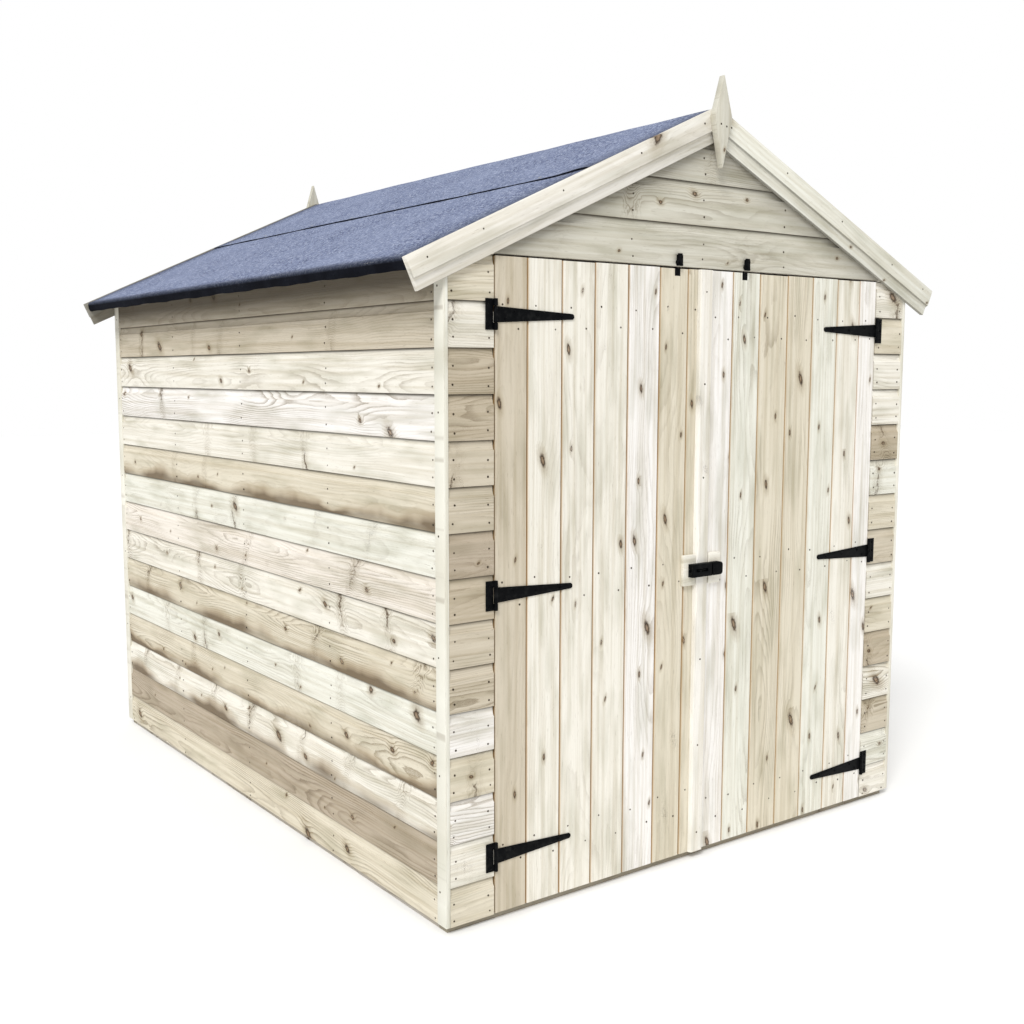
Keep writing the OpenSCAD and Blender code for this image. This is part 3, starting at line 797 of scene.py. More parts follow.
class SHED_OT_trims(bpy.types.Operator):
    """Corner trims, and the planed boards and finials that close the gables."""

    bl_idname = "shed.trims"
    bl_label = "Trims"

    def execute(self, context):
        stock = Stock()
        corners = ("corner_trim_front_left", "corner_trim_front_right", "corner_trim_back_left",
                   "corner_trim_back_right")
        for i, node in enumerate(corners):
            lo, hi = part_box(node)
            put_bar(stock, lo, hi, "z", TONES["cream"] + 0.06 + 0.06 * (i == 0), 2.1 + i * 3.3, 0.002)
        stock.show("corner_trims", "planed_spruce_trim", "root", "trim", corners)

        # Barge boards: the hollow edge of the board is turned down
        thick = FRONT_Y - BARGE_LO.y
        low_t = thick * HOLLOW_SHARE

        def hollow(p):
            """Painted shade: darkest on the underside, a line in the hollow that is darker on the right-hand
            boards, and slight on the thin edge below it.
            """
            n = (RIDGE_Z - p.z) * COS - abs(p.x) * SIN
            if n > BARGE_W - 0.0006:
                return 0.55
            line = 0.28 if p.x < 0 else 0.5
            return 0.0 if n < HOLLOW_N - 0.001 else line if n < HOLLOW_N + 0.003 else 0.09

        names = ("barge_board_front_left", "barge_board_front_right", "barge_board_back_left",
                 "barge_board_back_right")
        section = [(0.0, 0.0), (thick, 0.0), (thick, HOLLOW_N)]
        section += [(thick - (thick - low_t) * math.sin(math.pi / 2 * i / 5),
                     HOLLOW_N + HOLLOW_W * (1 - math.cos(math.pi / 2 * i / 5))) for i in range(1, 6)]
        section += [(low_t, BARGE_W), (0.0, BARGE_W)]
        stock = Stock()
        for i, node in enumerate(names):
            side = RIGHT if "right" in node else LEFT
            face = -1 if "front" in node else 1
            rings = []
            for reach in (0, BARGE_L):
                ends = [(out, slope(reach or n * math.tan(PITCH), n)) for out, n in section]
                rings.append([(-side * x, face * (-FRONT_Y + out), z) for out, (x, z) in ends])
            bm = eased(loft(rings), 0.0012, 0.7)
            # The back barge boards get painted shade all over.
            stock.put(bm, along=(side * COS, 0, -SIN), across=(side * SIN, 0, COS),
                      tone=(0.10, 0.28, 0.3, 0.16)[i], seed=5.3 + i * 2.9,
                      joint=hollow if face < 0 else lambda p: 0.7)
        stock.show("barge_boards", "planed_spruce_trim", "root", "trim", names)

        stock = Stock()
        finials = ("finial_front", "finial_back")
        wide = RIDGE_Z - FINIAL_DROP
        for i, node in enumerate(finials):
            lo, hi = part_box(node)
            half = FINIAL_SHARE * hi.x
            outline = [(0, hi.z), (half, wide), (0, lo.z), (-half, wide)]
            stock.put(prism(outline, lo.y, hi.y, 0.0008), along=(0, 0, 1), across=(1, 0, 0),
                      tone=TONES["grey"], seed=8.1 + i)
        stock.show("finials", "planed_spruce_trim", "root", "trim", finials)
        return {"FINISHED"}


# Where the purlins lie down the slope, the battens under the eaves and the board under the ridge
PURLIN_S = 0.560
EAVE_W, EAVE_H = 0.024, 0.018
RIDGE_T, RIDGE_H = 0.020, 0.095
STUDS, JOISTS = 5, 8


class SHED_OT_framing(bpy.types.Operator):
    """Sawn framing inside the walls, the joists and the purlins."""

    bl_idname = "shed.framing"
    bl_label = "Framing"

    def execute(self, context):
        stock = Stock()
        rng = random.Random(21)

        def length(lo, hi, run, stain=0.0):
            """Adds a length of sawn timber with a tone and grain of its own."""
            tone = rng.choice((0.3, 0.42, 0.5, 0.56))
            put_bar(stock, lo, hi, run, tone, rng.uniform(0, 40), 0.001, stain)

        lo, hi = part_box("left_wall_frame")
        t = hi.x - lo.x
        for side in (LEFT, RIGHT):
            x0, x1 = (lo.x, hi.x) if side == LEFT else (-hi.x, -lo.x)
            length((x0, lo.y, lo.z), (x1, hi.y, lo.z + t), "y")
            length((x0, lo.y, hi.z - t), (x1, hi.y, hi.z), "y")
            for i in range(STUDS):
                y = lo.y + (hi.y - lo.y - t) * i / (STUDS - 1)
                length((x0, y, lo.z + t), (x1, y + t, hi.z - t), "z")
        lo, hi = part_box("back_wall_frame")
        length((lo.x, lo.y, lo.z), (hi.x, hi.y, lo.z + t), "x")
        length((lo.x, lo.y, hi.z - t), (hi.x, hi.y, hi.z), "x")
        for x in (lo.x / 3, hi.x / 3):
            length((x - t / 2, lo.y, lo.z + t), (x + t / 2, hi.y, hi.z - t), "z")
        lo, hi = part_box("front_frame")
        for x in (lo.x, hi.x - t):
            length((x, lo.y, lo.z), (x + t, hi.y, hi.z - t), "z")
        length((lo.x, lo.y, hi.z - t), (hi.x, hi.y, hi.z), "x")
        stock.show("wall_framing", "sawn_spruce_framing", "root", "framing",
                   ("left_wall_frame", "right_wall_frame", "back_wall_frame", "front_frame"))

        stock = Stock()
        y0, y1 = GABLE_LO.y + BOARD_T, -GABLE_LO.y - BOARD_T
        top = GABLE_HI.z - RIDGE_T / 2 * math.tan(PITCH)
        length((-RIDGE_T / 2, y0, top - RIDGE_H), (RIDGE_T / 2, y1, top), "y")
        for side in (LEFT, RIGHT):
            # The last column darkens the eave battens: painted shade under the eaves.
            for s0, wide, deep, ends, seed, eave_batten_shade in (
                    (PURLIN_S, t, t, (y0, y1), 31.0, 0.0),
                    (DECK_L - EAVE_W, EAVE_W, EAVE_H, (DECK_LO.y, DECK_HI.y), 35.0, 0.9)):
                corners = [slope(s, n) for s, n in ((s0, SOFFIT_N), (s0 + wide, SOFFIT_N),
                                                    (s0 + wide, SOFFIT_N + deep), (s0, SOFFIT_N + deep))]
                stock.put(prism([(-side * x, z) for x, z in corners], *ends, 0.001), along=(0, 1, 0),
                          across=(COS, 0, -side * SIN), tone=0.45, seed=seed + side,
                          joint=lambda p, eave_batten_shade=eave_batten_shade: eave_batten_shade)
        stock.show("roof_purlin_timbers", "sawn_spruce_framing", "root", "framing", ["roof_purlins"])

        stock = Stock()
        lo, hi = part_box("floor_frame")
        for y in (lo.y, hi.y - t):
            length((lo.x, y, lo.z), (hi.x, y + t, hi.z), "x", 0.45)
        for i in range(JOISTS):
            x = lo.x + (hi.x - lo.x - t) * i / (JOISTS - 1)
            length((x, lo.y + t, lo.z), (x + t, hi.y - t, hi.z), "y", 0.45)
        stock.show("floor_joists", "sawn_spruce_framing", "root", "framing", ["floor_frame"])
        return {"FINISHED"}


class SHED_OT_decks(bpy.types.Operator):
    """Tongued boards on the floor and under the felt."""

    bl_idname = "shed.decks"
    bl_label = "Floor and roof boards"

    def execute(self, context):
        sizes = context.scene.shed_boards
        lo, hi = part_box("floor_boards")
        rows = round((hi.y - lo.y) / sizes.floor_cover)
        cover = (hi.y - lo.y) / rows
        boarded("floor_planks", plank_profile(cover, hi.z - lo.z, 0.001), cover, hi.x - lo.x, rows,
                "treated_spruce_matchboard", "root", "floor_timber", ["floor_boards"],
                turned((1, 0, 0), (0, 0, -1), (0, 1, 0), (lo.x, lo.y, hi.z)), random_tones(31, rows),
                seed=17, wander=0.0, bow=0.0001)
        reach = DECK_L - SOFFIT_N * math.tan(PITCH)
        rows = round(reach / sizes.floor_cover)
        cover = reach / rows
        length = DECK_HI.y - DECK_LO.y
        thick = SOFFIT_N - DECK_N
        for side, node in ((LEFT, "roof_panel_left"), (RIGHT, "roof_panel_right")):
            x, z = slope(DECK_L, SOFFIT_N)
            run = -side
            place = turned((0, run, 0), (side * SIN, 0, COS), (-side * COS, 0, SIN),
                           (-side * x, DECK_LO.y if run > 0 else DECK_HI.y, z))
            boarded(node + "_boards", plank_profile(cover, thick, 0.0015), cover, length, rows,
                    "treated_spruce_matchboard", "root", "roof_boards", [node], place,
                    random_tones(41 + side, rows), seed=19 + side, wander=0.0, bow=0.0001)
        return {"FINISHED"}


FELT_T = 0.003
LAP_W = 0.075
# Radius of the felt's turn over the eave
TURN_R = 0.0095


class SHED_OT_felt(bpy.types.Operator):
    """Three sheets of felt: one over each eave, and one over the ridge that laps them."""

    bl_idname = "shed.felt"
    bl_label = "Roofing felt"

    def execute(self, context):
        face_n = DECK_N - FELT_T
        lip_n = (RIDGE_Z - FELT_LO.z) * COS + FELT_LO.x * SIN
        lap_foot = LAP_S - LAP_W

        def eave_sheet(y):
            """(s, n, darkness) from under the ridge felt, over the eave and down to the lip's edge; the
            darkness there is painted shade on the turn and the lip.
            """
            rows = [(lap_foot + 0.001 + (DECK_L - 0.05 - lap_foot) * i / 15, face_n, 0.0)
                    for i in range(16)]
            rows += [(DECK_L - 0.034, face_n, 0.05), (DECK_L + FELT_T - TURN_R - 0.010, face_n, 0.45)]
            for i in range(7):
                turn = math.pi / 2 * i / 6
                rows.append((DECK_L + FELT_T - TURN_R * (1 - math.sin(turn)),
                             face_n + TURN_R * (1 - math.cos(turn)), 0.65 + 0.35 * i / 6))
            ragged = 0.0012 * math.sin(y * 19) + 0.0008 * math.sin(y * 47 + 2)
            for i in range(1, 7):
                n = face_n + TURN_R + (lip_n - face_n - TURN_R + ragged) * i / 6
                belly = (0.0022 + 0.0012 * math.sin(y * 6.1)) * math.sin(math.pi * i / 7)
                rows.append((DECK_L + FELT_T + belly, n, 1.0))
            return rows

        def ridge_half(y, side):
            """(s, n, darkness) from the ridge down to the lap, whose front left corner has curled; the
            darkness at the lap's edge is the black cut edge and painted shade beside it.
            """
            rows = [(0.004 + (lap_foot - 0.034) * i / 13, face_n, 0.0) for i in range(14)]
            rows += [(lap_foot - 0.020, face_n, 0.0), (lap_foot - 0.008, face_n - 0.0022, 0.0),
                     (lap_foot + 0.006, face_n - 0.0032, 0.0), (LAP_S - LAP_W / 2, face_n - 0.0032, 0.0),
                     (LAP_S - 0.008, face_n - 0.0034, 0.0), (LAP_S - 0.003, face_n - 0.0036, 0.5),
                     (LAP_S, face_n - 0.0038 - 0.0005 * math.sin(y * 8), 0.9)]
            curl = math.exp(-((y - DECK_LO.y - 0.03) / 0.06) ** 2) if side == LEFT else 0.0
            for i, (s, n, dark) in enumerate(rows):
                share = min(max((s - LAP_S + 0.06) / 0.06, 0.0), 1.0)
                rows[i] = (s - 0.03 * curl * share, n - 0.002 * curl * share ** 2, dark)
            return rows

        def on_slope(rows, side):
            """Turns rows of (s, n, darkness) into (x, z, darkness) on one side of the roof."""
            points = [(slope(s, n), dark) for s, n, dark in rows]
            return [(-side * x, z, dark) for (x, z), dark in points]

        for side, name in ((LEFT, "roof_felt_left"), (RIGHT, "roof_felt_right")):
            self.sheet(name + "_sheet", lambda y: on_slope(eave_sheet(y), side)[::side], name)
        top = (0.0, RIDGE_Z - face_n / COS - 0.0006, 0.0)

        def whole_ridge(y):
            """The ridge felt from its left edge, over the peak, to its right edge."""
            left, right = (on_slope(ridge_half(y, side), side) for side in (LEFT, RIGHT))
            return left[::-1] + [top] + right

        self.sheet("roof_felt_ridge_sheet", whole_ridge, "roof_felt_ridge")
        return {"FINISHED"}

    def sheet(self, name, outline, node):
        """A sheet of even thickness; outline gives (x, z, darkness) from left to right at a depth y."""
        y0, y1 = DECK_LO.y, DECK_HI.y
        hem = 0.018
        count = round((y1 - y0) / 0.03)
        between = [y0 + hem + (y1 - y0 - 2 * hem) * i / count for i in range(count + 1)]
        stations = [y0, y0 + hem / 2, *between, y1 - hem / 2, y1]
        corners, bare_and_shade = [], []
        for y in stations:
            rows = outline(y)
            n = len(rows)
            # Painted shadow along both gable ends of the sheet, beside the barge boards.
            edge = 0.6 * max(1 - min(y - y0, y1 - y) / 0.15, 0.0) ** 1.5
            places = [Vector((x, z)) for x, z, _ in rows]
            above, below = [], []
            for i, place in enumerate(places):
                run = (places[min(i + 1, n - 1)] - places[max(i - 1, 0)]).normalized()
                out = Vector((-run.y, run.x))
                s = i / (n - 1)
                lift = 0.0004 + 0.0007 * math.sin(y * 7.3 + s * 9) * math.sin(y * 2.9 - s * 17 + 1)
                lift += 0.0004 * math.sin(y * 23 + s * 31)
                above.append(place + out * lift)
                below.append(place - out * (FELT_T - 0.0003))
            corners += [(p.x, y, p.y) for p in above + below]
            dark = [max(edge, row[2]) for row in rows]
            bare_and_shade += dark + [1.0] * n
        faces = []
        ring = [*range(n), *range(2 * n - 1, n - 1, -1)]
        for k in range(len(stations) - 1):
            a, b = k * 2 * n, (k + 1) * 2 * n
            for p, q in zip(ring, ring[1:] + ring[:1]):
                faces.append([a + p, b + p, b + q, a + q])
        for a in (0, (len(stations) - 1) * 2 * n):
            faces += [[a + i, a + i + 1, a + n + i + 1, a + n + i] for i in range(n - 1)]
        mesh = bpy.data.meshes.new(name)
        mesh.from_pydata(corners, [], faces)
        attribute(mesh, "bare_and_shade", bare_and_shade)
        outward(mesh)
        settled(linked(name, mesh), "mineral_felt", "root", [node], crease=50)


# Widths are worked out from where the joints between the boards lie
LEFT_DOOR_JOINTS = (-0.656, -0.542, -0.429, -0.310, -0.1935, -0.0856)
RIGHT_DOOR_JOINTS = (0.097, 0.212, 0.336, 0.451, 0.569, 0.678)
LEFT_DOOR_TONES = "tan cream cream cream white beige beige".split()
RIGHT_DOOR_TONES = "white green beige beige green cream white".split()
DOOR_STEPS = 36
LEDGE_W, BRACE_W = 0.090, 0.070
# Bites along the strip's edge: height, reach up and down, and depth
BITES = ((0.96, 0.05, 0.010), (0.79, 0.04, 0.007), (1.32, 0.03, 0.004))
STRIP_STEPS = 90


class SHED_OT_doors(bpy.types.Operator):
    """Matchboarded doors with their ledges, braces, meeting strip and packers."""

    bl_idname = "shed.doors"
    bl_label = "Doors"

    def execute(self, context):
        groove = context.scene.shed_boards.groove
        slot = 0.0006
        for side, body, joints, tones in (
                ("left", "left_door", LEFT_DOOR_JOINTS, LEFT_DOOR_TONES),
                ("right", "right_door", RIGHT_DOOR_JOINTS, RIGHT_DOOR_TONES)):
            lo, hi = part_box(side + "_door_boards")
            edges = [lo.x, *joints, hi.x]
            stock = Stock()
            for i, (x0, x1) in enumerate(zip(edges, edges[1:])):
                left = (0.001, 0.0) if i == 0 else (groove, slot)
                right = (0.001, 0.0) if i == len(edges) - 2 else (groove, slot)
                a, b = x0 + left[1], x1 - right[1]
                outline = [(a, lo.y + left[0]), (x0 + left[0], lo.y), ((x0 * 2 + x1) / 3, lo.y),
                           ((x0 + x1 * 2) / 3, lo.y), (x1 - right[0], lo.y), (b, lo.y + right[0]),
                           (b, hi.y - 0.001), (b, hi.y), (a, hi.y), (a, hi.y - 0.001)]
                rings = []
                drop = min(0.0012 * math.sin(i * 2.3), 0)
                for k in range(DOOR_STEPS + 1):
                    z = lo.z + (hi.z - lo.z) * k / DOOR_STEPS + (drop if k == DOOR_STEPS else 0)
                    bend = 0.0004 * math.sin(z * 2.1 + i * 1.7)
                    rings.append([(x, y + (bend if y < lo.y + 0.001 else 0), z) for x, y in outline])
                stock.put(loft(rings), along=(0, 0, 1), across=(1, 0, 0), tone=TONES[tones[i]],
                          seed=4.7 * i + (1.3 if side == "left" else 22.9),
                          joint=lambda p: (min(max((p.y - lo.y - 0.0008) / (groove - 0.0008), 0), 1)
                                           if p.y < hi.y - 0.0005 else 0.0))
            stock.show(side + "_door_matchboards", "treated_spruce_matchboard", body, "door_boards",
                       [side + "_door_boards"], crease=25)
            self.ledges(side, body)
        self.strip()
        return {"FINISHED"}

    def ledges(self, side, body):
        """Three ledges and two braces, worked out from the ledges' box and the hinges' heights."""
        lo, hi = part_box(side + "_door_ledges")
        heights = hinge_heights(side)
        flip = 1 if side == "left" else -1
        x0, x1 = sorted((flip * lo.x, flip * hi.x))
        stock = Stock()
        for i, z in enumerate(heights):
            put_bar(stock, (lo.x, lo.y, z - LEDGE_W / 2), (hi.x, hi.y, z + LEDGE_W / 2), "x",
                    0.3 + 0.1 * i, 3.9 * i + 1, 0.002)
        for i, (below, above) in enumerate(zip(heights, heights[1:])):
            z0, z1 = below + LEDGE_W / 2, above - LEDGE_W / 2
            outline = [(x0, z0), (x0 + BRACE_W, z0), (x1, z1), (x1 - BRACE_W, z1)]
            run = Vector((x1 - BRACE_W - x0, 0, z1 - z0)).normalized()
            stock.put(prism([(flip * x, z) for x, z in outline], lo.y, hi.y, 0.002),
                      along=(flip * run.x, 0, run.z), across=(-run.z, 0, flip * run.x), tone=0.4,
                      seed=9.0 + i)
        stock.show(side + "_door_ledge_timbers", "sawn_spruce_framing", body, "framing",
                   [side + "_door_ledges"])

    def strip(self):
        """The meeting strip, with its bitten edge, and the packers under the bolt."""
        lo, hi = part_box("meeting_strip")
        rings = []
        for k in range(STRIP_STEPS + 1):
            z = lo.z + (hi.z - lo.z) * k / STRIP_STEPS
            hollow = sum(depth * math.exp(-((z - centre) / reach) ** 2) for centre, reach, depth in BITES)
            hollow += 0.0012 * (1 + math.sin(z * 9.1) * math.sin(z * 3.3 + 1))
            edge = lo.x + hollow
            rings.append([(edge + 0.003, lo.y, z), ((edge + hi.x) / 2, lo.y, z), (hi.x - 0.0015, lo.y, z),
                          (hi.x, lo.y + 0.0015, z), (hi.x, hi.y, z), (lo.x, hi.y, z),
                          (lo.x + hollow * 0.4, lo.y + 0.006, z)])
        stock = Stock()
        stock.put(loft(rings), along=(0, 0, 1), across=(1, 0, 0), tone=0.08, seed=14.2)
        put_bar(stock, *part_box("left_lock_packer"), "x", TONES["cream"], 15.1, 0.002)
        stock.show("meeting_strip_and_packer", "planed_spruce_trim", "left_door", "trim",
                   ["meeting_strip", "left_lock_packer"], crease=30)
        stock = Stock()
        put_bar(stock, *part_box("right_lock_packer"), "x", TONES["cream"], 16.6, 0.002)
        stock.show("right_lock_packer_block", "planed_spruce_trim", "right_door", "trim",
                   ["right_lock_packer"])


def hinge_heights(side):
    """Middle heights of one side's hinges, lowest first, from the plates' solids."""
    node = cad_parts[side + "_hinge_plates"]
    heights = sorted(v.co.z for v in node.data.vertices)
    groups = [[heights[0]]]
    for z in heights[1:]:
        if z - groups[-1][-1] > 0.2:
            groups.append([])
        groups[-1].append(z)
    return [(g[0] + g[-1]) / 2 for g in groups]


def hinge_line(side):
    """Which way the straps point, where the pins stand and how thick the knuckles are."""
    lo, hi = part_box(side + "_hinge_plates")
    sign = 1 if side == "left" else -1
    knuckle_r = (hi.y - lo.y) / 2
    pin_x = hi.x - knuckle_r if side == "left" else lo.x + knuckle_r
    return sign, pin_x, (lo.y + hi.y) / 2, knuckle_r


def ring_of(radius, height, sides):
    """A ring of points about the Z axis."""
    turns = [2 * math.pi * i / sides for i in range(sides)]
    return [(radius * math.cos(a), radius * math.sin(a), height) for a in turns]


def cylinder(a, b, radius, sides=20, edge=0.0006):
    """A round bar along Z from height a to b, about the origin, with eased ends."""
    return loft([ring_of(r, z, sides) for r, z in (
        (radius - edge, a), (radius, a + edge), (radius, b - edge), (radius - edge, b))])


LEAF_T = 0.003
STRAP_TIP_H = 0.0075


class SHED_OT_hinges(bpy.types.Operator):
    """Black tee hinges: plates with their knuckles and pins on the wall, tapered straps on the doors."""

    bl_idname = "shed.hinges"
    bl_label = "Hinges"

    def execute(self, context):
        for side in ("left", "right"):
            lo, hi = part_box(side + "_hinge_plates")
            s_lo, s_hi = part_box(side + "_hinge_straps")
            sign, pin_x, pin_y, knuckle_r = hinge_line(side)
            pin = Matrix.Translation((pin_x, pin_y, 0))
            leaf_w = abs((lo.x if side == "left" else hi.x) - pin_x)
            strap_l = abs((s_hi.x if side == "left" else s_lo.x) - pin_x)
            heights = hinge_heights(side)
            plate_h = hi.z - heights[-1]
            strap_h = s_hi.z - heights[-1]
            tip_h = STRAP_TIP_H
            gap = 0.001
            y0 = hi.y - LEAF_T
            plates, straps = Stock(), Stock()
            for z in heights:
                x0, x1 = sorted((pin_x - sign * leaf_w, pin_x - sign * (knuckle_r + gap)))
                plates.put(bar((x0, y0, z - plate_h), (x1, hi.y, z + plate_h), 0.0007))
                x0, x1 = sorted((pin_x - sign * (knuckle_r + gap + 0.001), pin_x))
                for a, b in ((z - plate_h, z - strap_h - gap), (z + strap_h + gap, z + plate_h)):
                    plates.put(cylinder(a, b, knuckle_r), pin)
                    plates.put(bar((x0, y0, a), (x1, hi.y, b), 0.0004))
                plates.put(cylinder(z - plate_h - 0.0004, z + plate_h + 0.0004, 0.003), pin)
                root = knuckle_r + 0.004
                turns = [math.pi * i / 8 for i in range(9)]
                outline = [(0, -strap_h), (root, -strap_h)]
                outline += [(strap_l + tip_h * (math.sin(a) - 1), -tip_h * math.cos(a)) for a in turns]
                outline += [(root, strap_h), (0, strap_h)]
                straps.put(prism([(pin_x + sign * x, z + h) for x, h in outline],
                                 s_hi.y - LEAF_T, s_hi.y, 0.0007))
                straps.put(cylinder(z - strap_h, z + strap_h, knuckle_r), pin)
            plates.show(side + "_hinge_plate_set", "black_powder_coat", "root", "ironwork",
                        [side + "_hinge_plates"], crease=40)
            straps.show(side + "_hinge_strap_set", "black_powder_coat", side + "_door", "ironwork",
                        [side + "_hinge_straps"], crease=40)
        return {"FINISHED"}


# Thickness of a button's raised pads, and of the plate that it closes on, with that plate's height
PAD_T, BUTTON_PLATE_T, BUTTON_PLATE_H = 0.0018, 0.0009, 0.021
LOCK_PARTS = {"bolt_housing": "left_door", "lock_bolt": "lock_bolt", "bolt_keep": "right_door",
              "turn_button_posts": "root", "left_turn_button": "left_turn_button",
              "right_turn_button": "right_turn_button"}


class SHED_OT_lock(bpy.types.Operator):
    """Finish of the pad bolt and the turn buttons, and the plates that the buttons close on."""

    bl_idname = "shed.lock"
    bl_label = "Bolt and turn buttons"

    def execute(self, context):
        for node, body in LOCK_PARTS.items():
            self.copied(node, body)
        for side in ("left", "right"):
            lo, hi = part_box(side + "_turn_button")
            d_lo, d_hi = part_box(side + "_door_boards")
            near, far = lo.y - PAD_T, lo.y + 0.0005
            foot = hi.z - 0.011
            stock = Stock()
            stock.put(prism([(lo.x + 0.001, foot), (hi.x - 0.001, foot), (hi.x - 0.004, hi.z),
                             (lo.x + 0.004, hi.z)], near, far, 0.0005))
            stock.put(bar((lo.x + 0.001, near, lo.z), (hi.x - 0.001, far, lo.z + 0.005), 0.0005))
            stock.show(side + "_button_pads", "black_powder_coat", side + "_turn_button", "ironwork")
            stock = Stock()
            stock.put(bar((lo.x, d_lo.y - BUTTON_PLATE_T, d_hi.z - BUTTON_PLATE_H),
                          (hi.x, d_lo.y, d_hi.z), 0.0003))
            stock.show(side + "_button_plate", "black_powder_coat", side + "_door", "ironwork")
        return {"FINISHED"}

    def copied(self, node, body):
        """A copy of a CAD solid with its arrises eased."""
        bm = bmesh.new()
        bm.from_mesh(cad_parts[node].data)
        bmesh.ops.remove_doubles(bm, verts=bm.verts, dist=1e-6)
        bmesh.ops.dissolve_limit(bm, angle_limit=math.radians(1), verts=bm.verts, edges=bm.edges)
        bmesh.ops.recalc_face_normals(bm, faces=bm.faces)
        eased(bm, 0.0006, 0.9)
        mesh = bpy.data.meshes.new(node + "_eased")
        bm.to_mesh(mesh)
        bm.free()
        settled(linked(node + "_eased", mesh), "black_powder_coat", body, [node], crease=40)


def head_shape(name, profile, sides=8, cross=False):
    """A turned head 1 unit across that stands on the XY plane, from (radius, height) rings."""
    bm = loft([ring_of(radius, height, sides) for radius, height in profile])
    if cross:
        # A cross recess: every third corner of the top ring is pushed down
        bm.verts.ensure_lookup_table()
        for i in range(0, sides, 3):
            bm.verts[i - sides].co.z -= 0.16
        bmesh.ops.recalc_face_normals(bm, faces=bm.faces)
    mesh = bpy.data.meshes.new(name)
    bm.to_mesh(mesh)
    bm.free()
    return linked(name, mesh)


# Heights of the nails above a board's foot, and their places across each wall
NAIL_ROWS = (0.022, 0.068)
BACK_NAILS = (-0.87, -0.2877, 0.2877, 0.87)
GABLE_NAILS = (-0.30, -0.03, 0.31)
BARGE_NAILS = (0.07, 0.33, 0.62, 0.90, 1.08)
# Screws of a strap: distance from the pin and height
STRAP_SCREWS = ((0.032, -0.010), (0.058, 0.008), (0.135, 0.0), (0.215, 0.0))


